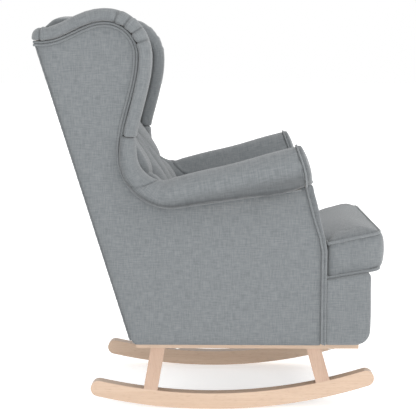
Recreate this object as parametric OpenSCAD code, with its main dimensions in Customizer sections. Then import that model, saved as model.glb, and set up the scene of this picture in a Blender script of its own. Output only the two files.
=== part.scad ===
// Upholstered wing-back rocking chair on two bent wooden rockers.
// The chair faces -Y, +X is the sitter's left and the floor is z = 0.
// Side profiles are drawn as [fore, up]: fore is the distance in front of the point where
// the rockers touch the floor, and up is the height above the underside of the seat body.

/* [Rocking base] */
// Radius of the rockers' soles
rocker_r = 1300; // [1100:10:1600]
// Depth of a rocker board, from sole to top edge
rocker_depth = 40; // [34:1:50]
// Thickness of the rocker and leg boards
stock_t = 30; // [24:1:36]
// Distance between the middles of the two rockers
rocker_gap = 414; // [340:2:420]
// Reach of the rockers behind the point where they rest
rocker_rear = 302; // [250:2:370]
// Reach of the rockers in front of the point where they rest
rocker_front = 410; // [340:2:490]
// Height of the mounting rails' underside
rail_z = 159; // [130:1:200]
// Thickness of the mounting rails
rail_t = 20; // [16:1:26]
// Width of the mounting rails
rail_w = 46; // [40:1:56]
// Reach of the mounting rails in front of the front legs
rail_nose = 95; // [80:1:110]
// Reach of the mounting rails behind the rear legs
rail_tail = 43; // [30:1:50]
// Width of the legs, seen from the side
leg_w = 35; // [30:1:42]
// Forward lean of the rear legs, in degrees
rear_leg_lean = 10; // [4:1:14]
// Rearward lean of the front legs, in degrees
front_leg_lean = 15.5; // [6:0.5:18]
// Diameter of the beech dowels
dowel_d = 8; // [6:0.5:10]

/* [Seat body] */
// Clear width between the arms
seat_w = 470; // [420:2:580]
// Distance from the resting point back to the foot of the outer back
body_back = 195; // [170:1:240]
// Depth of the side walls at the bottom
wall_depth = 467; // [430:1:500]
// Height of the cushion's underside at the arm fronts, above the body's underside
seat_h = 163; // [140:1:200]
// Upward slope of the seat towards the front, in degrees
seat_pitch = 9.7; // [6:0.1:12]
// How far the front border stands in front of the arms
border_reach = 108; // [90:1:130]
// Radius of the front border's lower edge
border_r = 35; // [20:1:40]

/* [Back, wings and arms] */
// Height of the wings' top above the body's underside
back_h = 784; // [690:2:944]
// Rearward lean of the back, in degrees
back_lean = 17; // [13:0.5:20]
// Radius of the wings' rounded front corner
nose_r = 81; // [60:1:95]
// Depth of the wings from the outer back to their front edge
wing_depth = 241; // [215:1:280]
// How far the top edge falls from the wings to the rear corner
top_drop = 46; // [30:1:60]
// Depth of the side wall at its waist, between arm and wing
waist = 127; // [110:1:150]
// Radius of the curve between wing and arm
throat_r = 120; // [100:1:140]
// Height of the arm seam at its lowest, above the body's underside
arm_h = 349; // [320:1:400]
// How far the arm seam rises to the front
arm_rise = 47; // [30:1:60]
// How far the arm front leans back at the top
arm_sweep = 43; // [30:1:50]
// Thickness of the upper back, from the outer cover to the inner padding
back_t = 120; // [104:1:145]
// Extra depth of the back at the small of the back
lumbar = 80; // [50:1:95]

/* [Rolls] */
// Thickness of the wing roll past the seam
wing_band = 31; // [27:1:38]
// Radius of the wing roll's section
wing_roll_r = 24; // [20:1:27]
// Thickness of the arm roll at the waist
waist_band = 36; // [33:1:50]
// Height of the arm roll above the seam at the front
arm_band = 96; // [80:1:110]
// How late the arm roll swells: 1 is evenly, more is nearer the front
arm_swell = 1.8; // [1:0.1:2.4]
// Radius of the arm roll at the front
arm_roll_r = 46; // [38:1:52]
// How far the arm roll's middle flares out past the wall at the front
arm_flare = 27; // [10:1:36]
// Diameter of the piping cords
welt_d = 6; // [4:0.5:7]

/* [Cushion] */
// Height of the cushion's border between its two pipings
cushion_t = 79; // [60:1:100]
// Extra height of the cushion's crown
cushion_crown = 16; // [8:1:24]
// How far the ears reach to the side
ear_half = 262; // [245:1:272]
// Distance from the arm fronts to the cushion's front seam
ear_len = 127; // [105:1:150]
// Bulge of the cushion's front border
cushion_bulge = 14; // [6:1:18]
// Clearance between the cushion and what is round it
cushion_gap = 2; // [1:0.5:4]

/* [Frame stock] */
// Thickness of the plywood side frames
ply_t = 18; // [15:1:22]
// Thickness of the outer covers, cloth on wadding
cover_t = 4; // [3:0.5:6]
// Thickness of the inner padding of arms and wings
pad_t = 19; // [15:1:24]
// Thickness of the padding on the inner back
back_pad_t = 64; // [52:1:72]
// Thickness of the back posts' boards
post_w = 28; // [24:1:36]
// Thickness of the side and back seat rails
seat_rail_t = 25; // [20:1:30]
// Thickness of the front seat rail
front_rail_t = 34; // [24:1:38]
// Diameter of the bolts that hold the rocking base
bolt_d = 8; // [6:1:10]
// Clearance round bolts and dowels
fit = 0.2; // [0.1:0.05:0.4]

/* [Hidden] */
$fn = 64;
body_z = rail_z + rail_t;
wall_in = seat_w / 2;
ply_in = wall_in + pad_t;
ply_out = ply_in + ply_t;
wall_out = ply_out + cover_t;
rail_x = rocker_gap / 2;
arm_front = wall_depth - body_back;
welt_r = welt_d / 2;
facing_t = 10;
cushion_front = arm_front + facing_t + 4 + ear_len;
front_most = cushion_front + cushion_bulge;
nose_up = back_h - nose_r;
rear_corner_up = back_h - top_drop;
lean_tan = tan(back_lean);
throat_up = arm_h + throat_r;
seam_drop = 43;
seam_up = throat_up + seam_drop;
web_t = 2;
touch = 0.02;
roll_over = 20;
roll_sides = 28;
spring_r = 2;
spring_drop = 28;
deck_t = 25;
deck_gap = 0.6;
border_front = arm_front + facing_t + 1 + border_reach;
border_pad = 31;
cloth = "#8c9296";
wood = "#dcbfa4";
pine = "#d9b98c";
ply = "#c9a777";
steel = "#9a9a98";
foam = "#e8e2d0";
felt = "#3c3c3e";

// Side profile helpers: the outer back, the seat's slope and smooth blends.
function rear(up) = -body_back - up * lean_tan;
function seat_up(fore) = seat_h + (fore - arm_front - facing_t - 4) * tan(seat_pitch);
function ease(t) = (1 - cos(180 * t)) / 2;
function arc(c, r, a0, a1, n) = [for (i = [0 : n]) c + r * [cos(a0 + (a1 - a0) * i / n), sin(a0 + (a1 - a0) * i / n)]];
function lumbar_at(up) = lumbar * (1 - ease(min(1, max(0, (up - 320) / 300))));
function pad_foot() = 125 - body_back;
function pad_front(up) = min(pad_foot(), rear(up) + back_t + lumbar_at(up));

// The back posts' front edges are straight between evenly spaced heights.
post_steps = 12;
post_foot = 2;
post_top = rear_corner_up - 8;
function knot(i) = post_foot + (post_top - post_foot) * i / post_steps;
post_line = [for (i = [0 : post_steps + 1]) [knot(i), pad_front(knot(i)) - back_pad_t - web_t]];
function post_front(up) = lookup(up, post_line);
cover_run = cover_t / cos(back_lean);

nose_c = [rear(nose_up) + wing_depth - nose_r, nose_up];
throat_c = [rear(throat_up) + waist + throat_r, throat_up];
arm_end = [arm_front - arm_sweep, arm_h + arm_rise];
rear_corner = [rear(rear_corner_up), rear_corner_up];
top_rise = nose_c[0] - rear_corner[0] - 22;
wing_fall = throat_c[0] - throat_r - nose_c[0] - nose_r;

// The wing's front edge at a given height, easing back from the nose to the waist.
function wing_at(up) = [nose_c[0] + nose_r + wing_fall * ease((nose_up - up) / (nose_up - throat_up)), up];

// The padded edge of the side wall, from the rear top corner over the wing to the arm front.
top_edge = [for (i = [0 : 7]) [rear_corner[0] + 22 + top_rise * i / 8, rear_corner_up + top_drop * ease(i / 8)]];
nose_edge = arc(nose_c, nose_r, 90, 0, 9);
wing_edge = [for (i = [1 : 8]) wing_at(nose_up + (seam_up - nose_up) * i / 8)];
waist_edge = [for (i = [1 : 2]) wing_at(seam_up - seam_drop * i / 3)];
throat_edge = arc(throat_c, throat_r, 180, 270, 9);
arm_edge = [for (i = [1 : 5]) [throat_c[0], arm_h] + (arm_end - [throat_c[0], arm_h]) * i / 5];
wing_path = concat([[rear_corner[0] + 4, rear_corner_up]], top_edge, nose_edge, wing_edge);
arm_path = concat(waist_edge, throat_edge, arm_edge);
edge_path = concat(wing_path, arm_path);
seam_at = len(wing_path) - 1;
edge_end = len(edge_path) - 1;
bend_up = arm_end[1] - 162;
front_edge = [
    [arm_end[0], arm_end[1]],
    [arm_front - arm_sweep * 0.53, bend_up + 85],
    [arm_front - arm_sweep * 0.14, bend_up + 32],
    [arm_front, bend_up],
    [arm_front, 0],
];

function unit(v) = v / norm(v);
// Outward direction of a path that runs from the rear over the top to the front.
function outward(path, i) =
    let (d = unit(path[min(i + 1, len(path) - 1)] - path[max(i - 1, 0)]))
    [-d[1], d[0]];

// Places a profile point in space.
function at(x, p) = [x, fore_zero - p[0], body_z + p[1]];
rear_most = rear(rear_corner_up);
fore_zero = (front_most + rear_most) / 2;

// Extrudes a [fore, up] profile across the chair, from x0 to x1.
module across(x0, x1) {
    translate([x1, fore_zero, body_z])
        rotate([90, 0, -90])
            linear_extrude(x1 - x0) children();
}

// Extrudes a plan shape drawn as [x, fore] upwards, from up0 to up1.
module upwards(up0, up1) {
    translate([0, fore_zero, body_z + up0])
        mirror([0, 1, 0])
            linear_extrude(up1 - up0) children();
}

// Draws its children for the left side, or mirrored for the right side.
module sided(side) {
    mirror([side > 0 ? 0 : 1, 0, 0]) children();
}

// A round tube along points in space; ref is never along the tube.
module tube(path, r, ref, sides = 8) {
    n = len(path);
    dirs = [for (i = [0 : n - 1]) unit(path[min(i + 1, n - 1)] - path[max(i - 1, 0)])];
    points = [
        for (i = [0 : n - 1])
            let (a = unit(cross(ref, dirs[i])), b = cross(dirs[i], a))
            for (k = [0 : sides - 1])
                path[i] + r * (cos(360 * k / sides) * a + sin(360 * k / sides) * b)
    ];
    rings = [
        for (i = [0 : n - 2])
            for (k = [0 : sides - 1])
                let (m = (k + 1) % sides)
                [i * sides + k, (i + 1) * sides + k, (i + 1) * sides + m, i * sides + m]
    ];
    caps = [[for (k = [0 : sides - 1]) k], [for (k = [sides - 1 : -1 : 0]) (n - 1) * sides + k]];
    polyhedron(points, concat(rings, caps));
}

// The outermost point of a few circles in the direction a, with g added to their radii.
function rim(circles, a, g) =
    let (
        d = [cos(a), sin(a)],
        reach = [for (c = circles) c[0] * d + c[1]],
        best = [for (i = [0 : len(circles) - 1]) if (reach[i] >= max(reach)) i][0]
    )
    circles[best][0] + (circles[best][1] + g) * d;

// The outline round a few circles, each given as [middle, radius], one point per direction.
function round_ring(circles, sides) = [
    for (k = [0 : sides - 1])
        rim(circles, 360 * (k + 0.5) / sides, 0)
];

// A solid through rings of points that have the same count.
module loft(rings) {
    n = len(rings);
    sides = len(rings[0]);
    walls = [
        for (i = [0 : n - 2])
            for (k = [0 : sides - 1])
                let (m = (k + 1) % sides)
                for (t = [0, 1])
                    t == 0
                        ? [i * sides + k, i * sides + m, (i + 1) * sides + m]
                        : [i * sides + k, (i + 1) * sides + m, (i + 1) * sides + k]
    ];
    caps = [[for (k = [sides - 1 : -1 : 0]) k], [for (k = [0 : sides - 1]) (n - 1) * sides + k]];
    polyhedron([for (ring = rings) for (p = ring) p], concat(walls, caps));
}

module rod(from, to, d) {
    v = to - from;
    translate(from)
        rotate([0, acos(v[2] / norm(v)), atan2(v[1], v[0])])
            cylinder(h = norm(v), d = d);
}

// ---- Rocking base ----

foot_r = rocker_r - rocker_depth;
mid_r = rocker_r - rocker_depth / 2;
rear_end_a = asin((rocker_rear - rocker_depth / 2) / mid_r);
front_end_a = asin((rocker_front - rocker_depth / 2) / mid_r);
leg_up = 100 - body_z;
// Where the middles of the legs cross the height leg_up, and where the mounting rails end.
rear_leg_fore = 53 - body_back;
front_leg_fore = arm_front + 2;
rail_ends = [rear_leg_fore - rail_tail, front_leg_fore + rail_nose];

// Middle of a leg at a given height, where lean is positive towards the front.
function leg_at(fore, lean, up) = [fore + (up - leg_up) * tan(lean), up];
// The height of a rocker's top edge under a given place.
function foot_up(fore) = rocker_r - body_z - sqrt(foot_r * foot_r - fore * fore);

module rocker_outline() {
    sweep_r = rocker_r * 1.2;
    translate([0, rocker_r - body_z]) {
        intersection() {
            difference() {
                circle(rocker_r, $fn = 360);
                circle(foot_r, $fn = 360);
            }
            polygon([
                [0, 0],
                sweep_r * [-sin(rear_end_a), -cos(rear_end_a)],
                sweep_r * [0, -1.1],
                sweep_r * [sin(front_end_a), -cos(front_end_a)],
            ]);
        }
        translate(mid_r * [-sin(rear_end_a), -cos(rear_end_a)]) circle(rocker_depth / 2);
        translate(mid_r * [sin(front_end_a), -cos(front_end_a)]) circle(rocker_depth / 2);
    }
}

// The two dowels at each end of a leg, as rods of diameter d.
module leg_dowel_rods(fore, lean, d, reach) {
    low = leg_at(fore, lean, foot_up(fore));
    high = leg_at(fore, lean, -rail_t);
    dir = unit(high - low);
    for (k = [-1, 1]) {
        shift = [k * leg_w / 4, 0];
        rod(at(rail_x, low + shift - reach * dir), at(rail_x, low + shift + reach * dir), d);
        rod(at(rail_x, high + shift - reach * dir), at(rail_x, high + shift + (rail_t - 6) * dir), d);
    }
}

module all_leg_rods(d, reach) {
    leg_dowel_rods(rear_leg_fore, rear_leg_lean, d, reach);
    leg_dowel_rods(front_leg_fore, -front_leg_lean, d, reach);
}

module rocker(side) {
    color(wood) sided(side) difference() {
        across(rail_x - stock_t / 2, rail_x + stock_t / 2) rocker_outline();
        all_leg_rods(dowel_d + fit, 20);
    }
}

module leg(side, fore, lean) {
    color(wood) sided(side) difference() {
        across(rail_x - stock_t / 2, rail_x + stock_t / 2) intersection() {
            translate([0, rocker_r - body_z]) circle(foot_r, $fn = 360);
            translate([fore, leg_up]) rotate(-lean) square([leg_w, 400], center = true);
            translate([fore - 200, -rail_t - 200]) square([400, 200]);
        }
        leg_dowel_rods(fore, lean, dowel_d + fit, 20);
    }
}

block_in = 27;
side_rail_front = border_front - border_pad - front_rail_t;
side_rail_rear = post_front(0);
bolt_fores = [side_rail_rear + seat_rail_t + block_in, side_rail_front - block_in];
block_h = 42;
head_h = 5;
washer_t = 1.5;

module bolt_rods(d, low, high) {
    for (fore = bolt_fores)
        rod(at(rail_x, [fore, low]), at(rail_x, [fore, high]), d);
}

module mounting_rail(side) {
    color(wood) sided(side) difference() {
        across(rail_x - rail_w / 2, rail_x + rail_w / 2)
            translate([rail_ends[0], -rail_t]) square([rail_ends[1] - rail_ends[0], rail_t]);
        all_leg_rods(dowel_d + fit, 19);
        bolt_rods(bolt_d + 2 * fit, -rail_t - 1, 1);
    }
}

module rocker_left() { rocker(1); }
module rocker_right() { rocker(-1); }
module rear_leg_left() { leg(1, rear_leg_fore, rear_leg_lean); }
module rear_leg_right() { leg(-1, rear_leg_fore, rear_leg_lean); }
module front_leg_left() { leg(1, front_leg_fore, -front_leg_lean); }
module front_leg_right() { leg(-1, front_leg_fore, -front_leg_lean); }
module mounting_rail_left() { mounting_rail(1); }
module mounting_rail_right() { mounting_rail(-1); }

module leg_dowels() {
    color(pine) for (side = [-1, 1]) sided(side) all_leg_rods(dowel_d - fit, 18);
}

module base_bolts() {
    color(steel) for (side = [-1, 1]) sided(side) {
        for (fore = bolt_fores) {
            difference() {
                rod(at(rail_x, [fore, -rail_t - washer_t - head_h]), at(rail_x, [fore, -rail_t - washer_t]), 14);
                translate(at(rail_x, [fore, -rail_t - washer_t - head_h - 1])) cylinder(h = 4, d = 5.8, $fn = 6);
            }
            rod(at(rail_x, [fore, -rail_t - washer_t - 0.01]), at(rail_x, [fore, block_h + 1]), bolt_d - fit);
        }
    }
}

module base_washers() {
    color(steel) for (side = [-1, 1]) sided(side)
        for (fore = bolt_fores)
            difference() {
                rod(at(rail_x, [fore, -rail_t - washer_t]), at(rail_x, [fore, -rail_t]), 20);
                rod(at(rail_x, [fore, -rail_t - 3]), at(rail_x, [fore, -rail_t + 1]), bolt_d + 2 * fit);
            }
}

tee_flange = 22;
tee_barrel = 10;

// Flanged threaded sleeves pressed into the corner blocks from above.
module tee_nuts() {
    color(steel) for (side = [-1, 1]) sided(side)
        for (fore = bolt_fores)
            difference() {
                union() {
                    rod(at(rail_x, [fore, block_h]), at(rail_x, [fore, block_h + 2]), tee_flange);
                    rod(at(rail_x, [fore, block_h - 10]), at(rail_x, [fore, block_h + 1]), tee_barrel);
                }
                rod(at(rail_x, [fore, block_h - 11]), at(rail_x, [fore, block_h + 3]), bolt_d);
            }
}

// ---- Seat frame ----

rail_foot = 2;
rail_head = spring_drop + 4;

module seat_side_rail(side) {
    color(pine) sided(side) across(ply_in - seat_rail_t, ply_in) polygon([
        [side_rail_rear, rail_foot],
        [side_rail_rear, seat_up(side_rail_rear) - rail_head],
        [side_rail_front, seat_up(side_rail_front) - rail_head],
        [side_rail_front, rail_foot],
    ]);
}

module seat_side_rail_left() { seat_side_rail(1); }
module seat_side_rail_right() { seat_side_rail(-1); }

module seat_front_rail() {
    front = border_front - border_pad;
    color(pine) across(-ply_in, ply_in) polygon([
        [side_rail_front, rail_foot],
        [side_rail_front, seat_up(side_rail_front) - rail_head],
        [front, seat_up(front) - rail_head],
        [front, rail_foot],
    ]);
}

module seat_back_rail() {
    inner = ply_in - seat_rail_t;
    color(pine) across(-inner, inner) polygon([
        [side_rail_rear, rail_foot],
        [side_rail_rear, seat_up(side_rail_rear) - rail_head],
        [side_rail_rear + seat_rail_t, seat_up(side_rail_rear + seat_rail_t) - rail_head],
        [side_rail_rear + seat_rail_t, rail_foot],
    ]);
}

// Glued triangular blocks that stiffen the seat frame and take the base's bolts.
module corner_blocks() {
    inner = ply_in - seat_rail_t;
    size = 92;
    rear_in = side_rail_rear + seat_rail_t;
    color(pine) for (side = [-1, 1]) sided(side) difference() {
        upwards(rail_foot, block_h) {
            polygon([[inner, rear_in], [inner - size, rear_in], [inner, rear_in + size]]);
            polygon([[inner, side_rail_front], [inner - size, side_rail_front], [inner, side_rail_front - size]]);
        }
        bolt_rods(bolt_d + 2 * fit, 0, block_h + 1);
        bolt_rods(tee_barrel + fit, block_h - 10.5, block_h + 1);
    }
}

spring_count = 5;
spring_turns = 9;
spring_half = 24;
spring_pitch_x = 88;
clip_len = 16;

// A zigzag wire with rounded turns, from the back rail to the front rail.
function spring_path(x0) =
    let (
        f0 = side_rail_rear + seat_rail_t / 2,
        f1 = side_rail_front + 11,
        step = (f1 - f0 - 24) / spring_turns
    )
    concat(
        [at(x0, [f0, seat_up(f0) - spring_drop])],
        [
            for (i = [0 : spring_turns - 1])
                for (k = [-1 : 1])
                    let (
                        s = i % 2 == 0 ? 1 : -1,
                        f = f0 + 12 + step * (i + 0.5) + step * 0.5 * sin(60 * k),
                        x = x0 + s * spring_half * cos(60 * k)
                    )
                    at(x, [f, seat_up(f) - spring_drop])
        ],
        [at(x0, [f1, seat_up(f1) - spring_drop])]
    );

module seat_springs() {
    color(steel) for (i = [0 : spring_count - 1])
        tube(spring_path((i - (spring_count - 1) / 2) * spring_pitch_x), spring_r, [0, 0, 1], 6);
}

// Bent clips, screwed to the rails, that hold the ends of the springs.
module spring_clips() {
    ends = [side_rail_rear + seat_rail_t / 2 - 4, side_rail_front + 14];
    color(steel) for (i = [0 : spring_count - 1])
        for (fore = ends)
            let (x = (i - (spring_count - 1) / 2) * spring_pitch_x, low = seat_up(fore) - rail_head)
            across(x - clip_len / 2, x + clip_len / 2)
                polygon([
                    [fore - 6, low - 6 * tan(seat_pitch) + 0.05],
                    [fore - 6, low + 1.2],
                    [fore + 6, low + 6 * tan(seat_pitch) + 1.3],
                    [fore + 6, low + 6 * tan(seat_pitch) + 0.05],
                ]);
}

// A layer that lies along the seat's slope, cut from a plan drawn as [x, fore].
module seat_layer(low, high) {
    intersection() {
        upwards(-50, 500) children();
        across(-400, 400) polygon([
            [-500, seat_up(-500) + low],
            [-500, seat_up(-500) + high],
            [700, seat_up(700) + high],
            [700, seat_up(700) + low],
        ]);
    }
}

module deck_pad() {
    shoulder = arm_front + facing_t + 2;
    front = border_front - border_pad;
    color(felt) seat_layer(-deck_gap - deck_t, -deck_gap) {
        translate([-wall_in + 1, pad_foot() + 1]) square([seat_w - 2, front - pad_foot() - 1]);
        translate([-ply_in, shoulder]) square([2 * ply_in, front - shoulder]);
    }
}

module dust_cover() {
    front = border_front - border_pad;
    back = rear(0) + 10;
    color(felt) difference() {
        upwards(0, rail_foot) translate([-ply_in, back]) square([2 * ply_in, front - back]);
        for (side = [-1, 1]) sided(side) bolt_rods(bolt_d + 2 * fit, -1, 3);
    }
}

// ---- Back and side frames ----

module wall_outline(rear_inset) {
    polygon(concat(
        [[rear(0) + rear_inset + 8, 0], [rear(9) + rear_inset, 9]],
        [[rear(rear_corner_up) + rear_inset, rear_corner_up]],
        top_edge,
        nose_edge,
        wing_edge,
        waist_edge,
        throat_edge,
        arm_edge,
        front_edge
    ));
}

module below(up) { translate([-900, -100]) square([1800, up + 100]); }
module above(up) { translate([-900, up]) square([1800, 1500]); }
// Everything in front of the webbing on the back posts.
module ahead() {
    polygon(concat(
        [for (i = [0 : post_steps + 1]) [post_front(knot(i)) + web_t + touch, knot(i)]],
        [[rear(1300), 1300], [900, 1300], [900, post_foot]]
    ));
}
module over_seat(gap) {
    polygon([[-700, seat_up(-700) + gap], [900, seat_up(900) + gap], [900, 2000], [-700, 2000]]);
}

module arm_frame(side) {
    color(ply) sided(side) across(ply_in, ply_out) intersection() {
        wall_outline(cover_run);
        below(seam_up);
    }
}

module wing_frame(side) {
    color(ply) sided(side) across(ply_in, ply_out) intersection() {
        wall_outline(cover_run);
        above(seam_up);
    }
}

board_w = 44;
board_t = 14;

// The board on top of the arm frame that carries the arm roll.
module arm_board_shape(side) {
    a = arm_path[len(arm_path) - 5];
    b = arm_end;
    d = unit(b - a);
    n = [-d[1], d[0]];
    sided(side) across(ply_in + 2, ply_in + 2 + board_w)
        polygon([a, a + board_t * n, b - 6 * d + board_t * n, b - 6 * d]);
}

module arm_board_left() { color(pine) arm_board_shape(1); }
module arm_board_right() { color(pine) arm_board_shape(-1); }
module arm_frame_left() { arm_frame(1); }
module arm_frame_right() { arm_frame(-1); }
module wing_frame_left() { wing_frame(1); }
module wing_frame_right() { wing_frame(-1); }

module back_post(side) {
    color(pine) sided(side) across(ply_in - post_w, ply_in) polygon(concat(
        [[rear(post_foot) + cover_run + touch, post_foot], [rear(post_top) + cover_run + touch, post_top]],
        [for (i = [post_steps : -1 : 0]) [post_front(knot(i)), knot(i)]]
    ));
}

module back_post_left() { back_post(1); }
module back_post_right() { back_post(-1); }

// A cross rail between the back posts, from up0 to up1.
module back_rail(up0, up1) {
    half = ply_in - post_w;
    color(pine) across(-half, half) polygon([
        [rear(up0) + cover_run + touch, up0],
        [rear(up1) + cover_run + touch, up1],
        [rear(up1) + cover_run + 23, up1],
        [rear(up0) + cover_run + 23, up0],
    ]);
}

module back_top_rail() { back_rail(post_top - 62, post_top); }
module back_bottom_rail() { back_rail(150, 205); }

web_w = 50;

// Elastic straps stretched across the back posts, one on every second straight stretch.
module back_webbing() {
    color(felt) for (i = [3 : 2 : post_steps - 1])
        let (up = (knot(i) + knot(i + 1) - web_w) / 2, top = up + web_w)
        across(-ply_in + 3, ply_in - 3) polygon([
            [post_front(up), up],
            [post_front(top), top],
            [post_front(top) + web_t, top],
            [post_front(up) + web_t, up],
        ]);
}

// ---- Upholstery on the walls ----

module arm_pad(side) {
    color(foam) sided(side) across(wall_in, ply_in) intersection() {
        wall_outline(cover_run);
        below(seam_up);
        over_seat(-rail_head + 1);
        ahead();
    }
}

module wing_pad(side) {
    color(foam) sided(side) across(wall_in, ply_in) intersection() {
        wall_outline(cover_run);
        above(seam_up);
        ahead();
    }
}

module side_cover(side) {
    color(cloth) sided(side) across(ply_out, wall_out) wall_outline(cover_run);
}

module arm_pad_left() { arm_pad(1); }
module arm_pad_right() { arm_pad(-1); }
module wing_pad_left() { wing_pad(1); }
module wing_pad_right() { wing_pad(-1); }
module side_cover_left() { side_cover(1); }
module side_cover_right() { side_cover(-1); }

module back_cover() {
    top = rear_corner_up;
    color(cloth) across(-wall_out, wall_out) polygon([
        [rear(9), 9],
        [rear(top), top],
        [rear(top) + cover_run, top],
        [rear(9) + cover_run, 9],
    ]);
}

// A ring of a roll at point i of the edge: section points are [across, outward], and the
// ring stops at the wall's edge, where outward is 0.
function roll_ring(i, section) =
    let (n = outward(edge_path, i))
    [for (q = section) at(q[0], edge_path[i] + max(0, q[1]) * n)];

function wing_section() =
    let (c = wing_band - wing_roll_r)
    round_ring([
        [[wall_in + wing_roll_r, c], wing_roll_r],
        [[wall_out + roll_over - wing_roll_r, c], wing_roll_r],
    ], roll_sides);

// Section of the arm roll, where t goes from 0 at the wing seam to 1 at the arm front.
function arm_r(t) = wing_roll_r + (arm_roll_r - wing_roll_r) * t;
function arm_top(t) =
    wing_band + (waist_band - wing_band) * min(1, t * 6) + (arm_band - waist_band) * pow(max(0, t * 1.2 - 0.2), arm_swell);
function arm_x(t) = wall_out + roll_over - wing_roll_r + (arm_flare - roll_over + wing_roll_r) * max(0, t * 1.25 - 0.25);
function arm_circles(t) = [
    [[wall_in + 18, 2], 18],
    [[wall_in + wing_roll_r, wing_band - wing_roll_r + (arm_r(t) - wing_roll_r) * 0.3], wing_roll_r],
    [[arm_x(t), arm_top(t) - arm_r(t)], arm_r(t)],
];

module wing_roll(side) {
    color(cloth) sided(side)
        loft([for (i = [0 : seam_at]) roll_ring(i, wing_section())]);
}

module arm_roll(side) {
    n = edge_end - seam_at;
    color(cloth) sided(side) difference() {
        loft([for (i = [0 : n]) roll_ring(seam_at + i, round_ring(arm_circles(i / n), roll_sides))]);
        arm_board_shape(1);
    }
}

module wing_roll_left() { wing_roll(1); }
module wing_roll_right() { wing_roll(-1); }
module arm_roll_left() { arm_roll(1); }
module arm_roll_right() { arm_roll(-1); }

// The padded facing that closes the front of an arm.
module arm_facing(side) {
    out = outward(edge_path, edge_end);
    ahead = [out[1], -out[0]];
    color(cloth) sided(side) difference() {
        union() {
            across(wall_in, wall_out) polygon(concat(
                front_edge,
                [for (i = [len(front_edge) - 1 : -1 : 1]) front_edge[i] + [facing_t, 0]],
                [arm_end + facing_t * ahead]
            ));
            translate(at(0, arm_end))
                rotate([180 - atan2(out[1], out[0]), 0, 0])
                    linear_extrude(facing_t) intersection() {
                        hull() for (c = arm_circles(1)) translate(c[0]) circle(c[1], $fn = 32);
                        square([wall_out + 200, arm_band + 50]);
                    }
        }
        across(0, 500) wall_outline(0);
        across(0, ply_in + touch) below(seat_up(arm_front + facing_t));
    }
}

module arm_facing_left() { arm_facing(1); }
module arm_facing_right() { arm_facing(-1); }

// Double piping in the seam between the side cover and the rolls.
module side_welt(side) {
    color(cloth) sided(side) for (inset = [welt_r + 0.6, 3 * welt_r + 1])
        tube(
            [for (i = [1 : edge_end - 1]) at(wall_out + welt_r, edge_path[i] - inset * outward(edge_path, i))],
            welt_r, [1, 0, 0], 8
        );
}

module side_welt_left() { side_welt(1); }
module side_welt_right() { side_welt(-1); }

// Single piping round the arm facing: up the outer edge, over the roll and down inside.
module facing_welt(side) {
    n = outward(edge_path, edge_end);
    gap = welt_r + 0.8;
    outer = [for (k = [3 : -1 : 1]) at(wall_out + gap, front_edge[k])];
    under = [for (x = [wall_out + gap, arm_x(1)]) at(x, arm_end - gap * n)];
    over = [for (a = [-60 : 15 : 180]) let (q = rim(arm_circles(1), a, gap)) at(q[0], arm_end + q[1] * n)];
    inner = [for (k = [1, 2]) at(wall_in - gap, front_edge[k])];
    start = at(wall_out + gap, [arm_front, welt_r]);
    color(cloth) sided(side)
        tube(concat([start], outer, under, over, inner), welt_r, [0, -1, 0], 8);
}

module facing_welt_left() { facing_welt(1); }
module facing_welt_right() { facing_welt(-1); }

// ---- Inner back ----

button_d = 22;
button_t = 7;
well_d = 30;
well_depth = 22;
button_rows = [[421, 130, 3], [536, 65, 2], [651, 130, 3]];

// Places children at a button, with +Z out of the padding.
module at_buttons(depth) {
    for (row = button_rows) {
        up = row[0];
        slope = atan2(pad_front(up) - pad_front(up + 20), 20);
        for (k = [0 : row[2] - 1])
            translate(at((k - (row[2] - 1) / 2) * (row[2] == 3 ? row[1] : 2 * row[1]), [pad_front(up), up]))
                rotate([90 - slope, 0, 0])
                    translate([0, 0, -depth]) children();
    }
}

pad_top = rear_corner_up;

module back_pad() {
    low = seat_up(pad_foot()) - 24;
    color(foam) difference() {
        across(-wall_in + 0.5, wall_in - 0.5) polygon(concat(
            [[post_front(low) + web_t + touch, low]],
            [for (i = [0 : post_steps]) if (knot(i) > low) [post_front(knot(i)) + web_t + touch, knot(i)]],
            [[post_front(pad_top) + web_t + touch, pad_top]],
            [for (i = [20 : -1 : 0]) let (up = 250 + (pad_top - 250) * i / 20) [pad_front(up), up]],
            [[pad_foot(), low]]
        ));
        at_buttons(well_depth) cylinder(h = well_depth + 60, d = well_d);
    }
}

module back_buttons() {
    color(cloth) at_buttons(well_depth) intersection() {
        cylinder(h = button_t, d = button_d);
        translate([0, 0, button_t - 22]) sphere(22);
    }
}

crest_r = 30;
crest_rise = 24;
crest_arch = 12;

// The roll along the top of the back, between the wings.
module crest_roll() {
    half = wall_in - 0.5;
    fores = [rear(pad_top) + crest_r + 2, pad_front(pad_top) - crest_r];
    color(cloth) loft([
        for (t = [-1 : 0.25 : 1])
            let (up = pad_top + crest_rise + crest_arch * (1 - t * t))
            [
                for (q = round_ring([[[fores[0], up], crest_r], [[fores[1], up], crest_r]], roll_sides))
                    at(t * half, [q[0], q[1] < up - 1 ? pad_top : q[1]])
            ]
    ]);
}

// ---- Front border ----

module front_border() {
    back = arm_front + facing_t + 1;
    inner = border_front - border_pad;
    color(cloth) difference() {
        across(-wall_out, wall_out) polygon(concat(
            [[back, 0]],
            [[back, seat_up(back) - deck_gap]],
            arc([border_front - 8, seat_up(border_front) - deck_gap - 9], 8, 90, 0, 4),
            arc([border_front - border_r, border_r], border_r, 0, -90, 8)
        ));
        across(-ply_in, ply_in) translate([back - 20, -1]) square([inner - back + 20, 400]);
    }
}

// ---- Loose cushion ----

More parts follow.
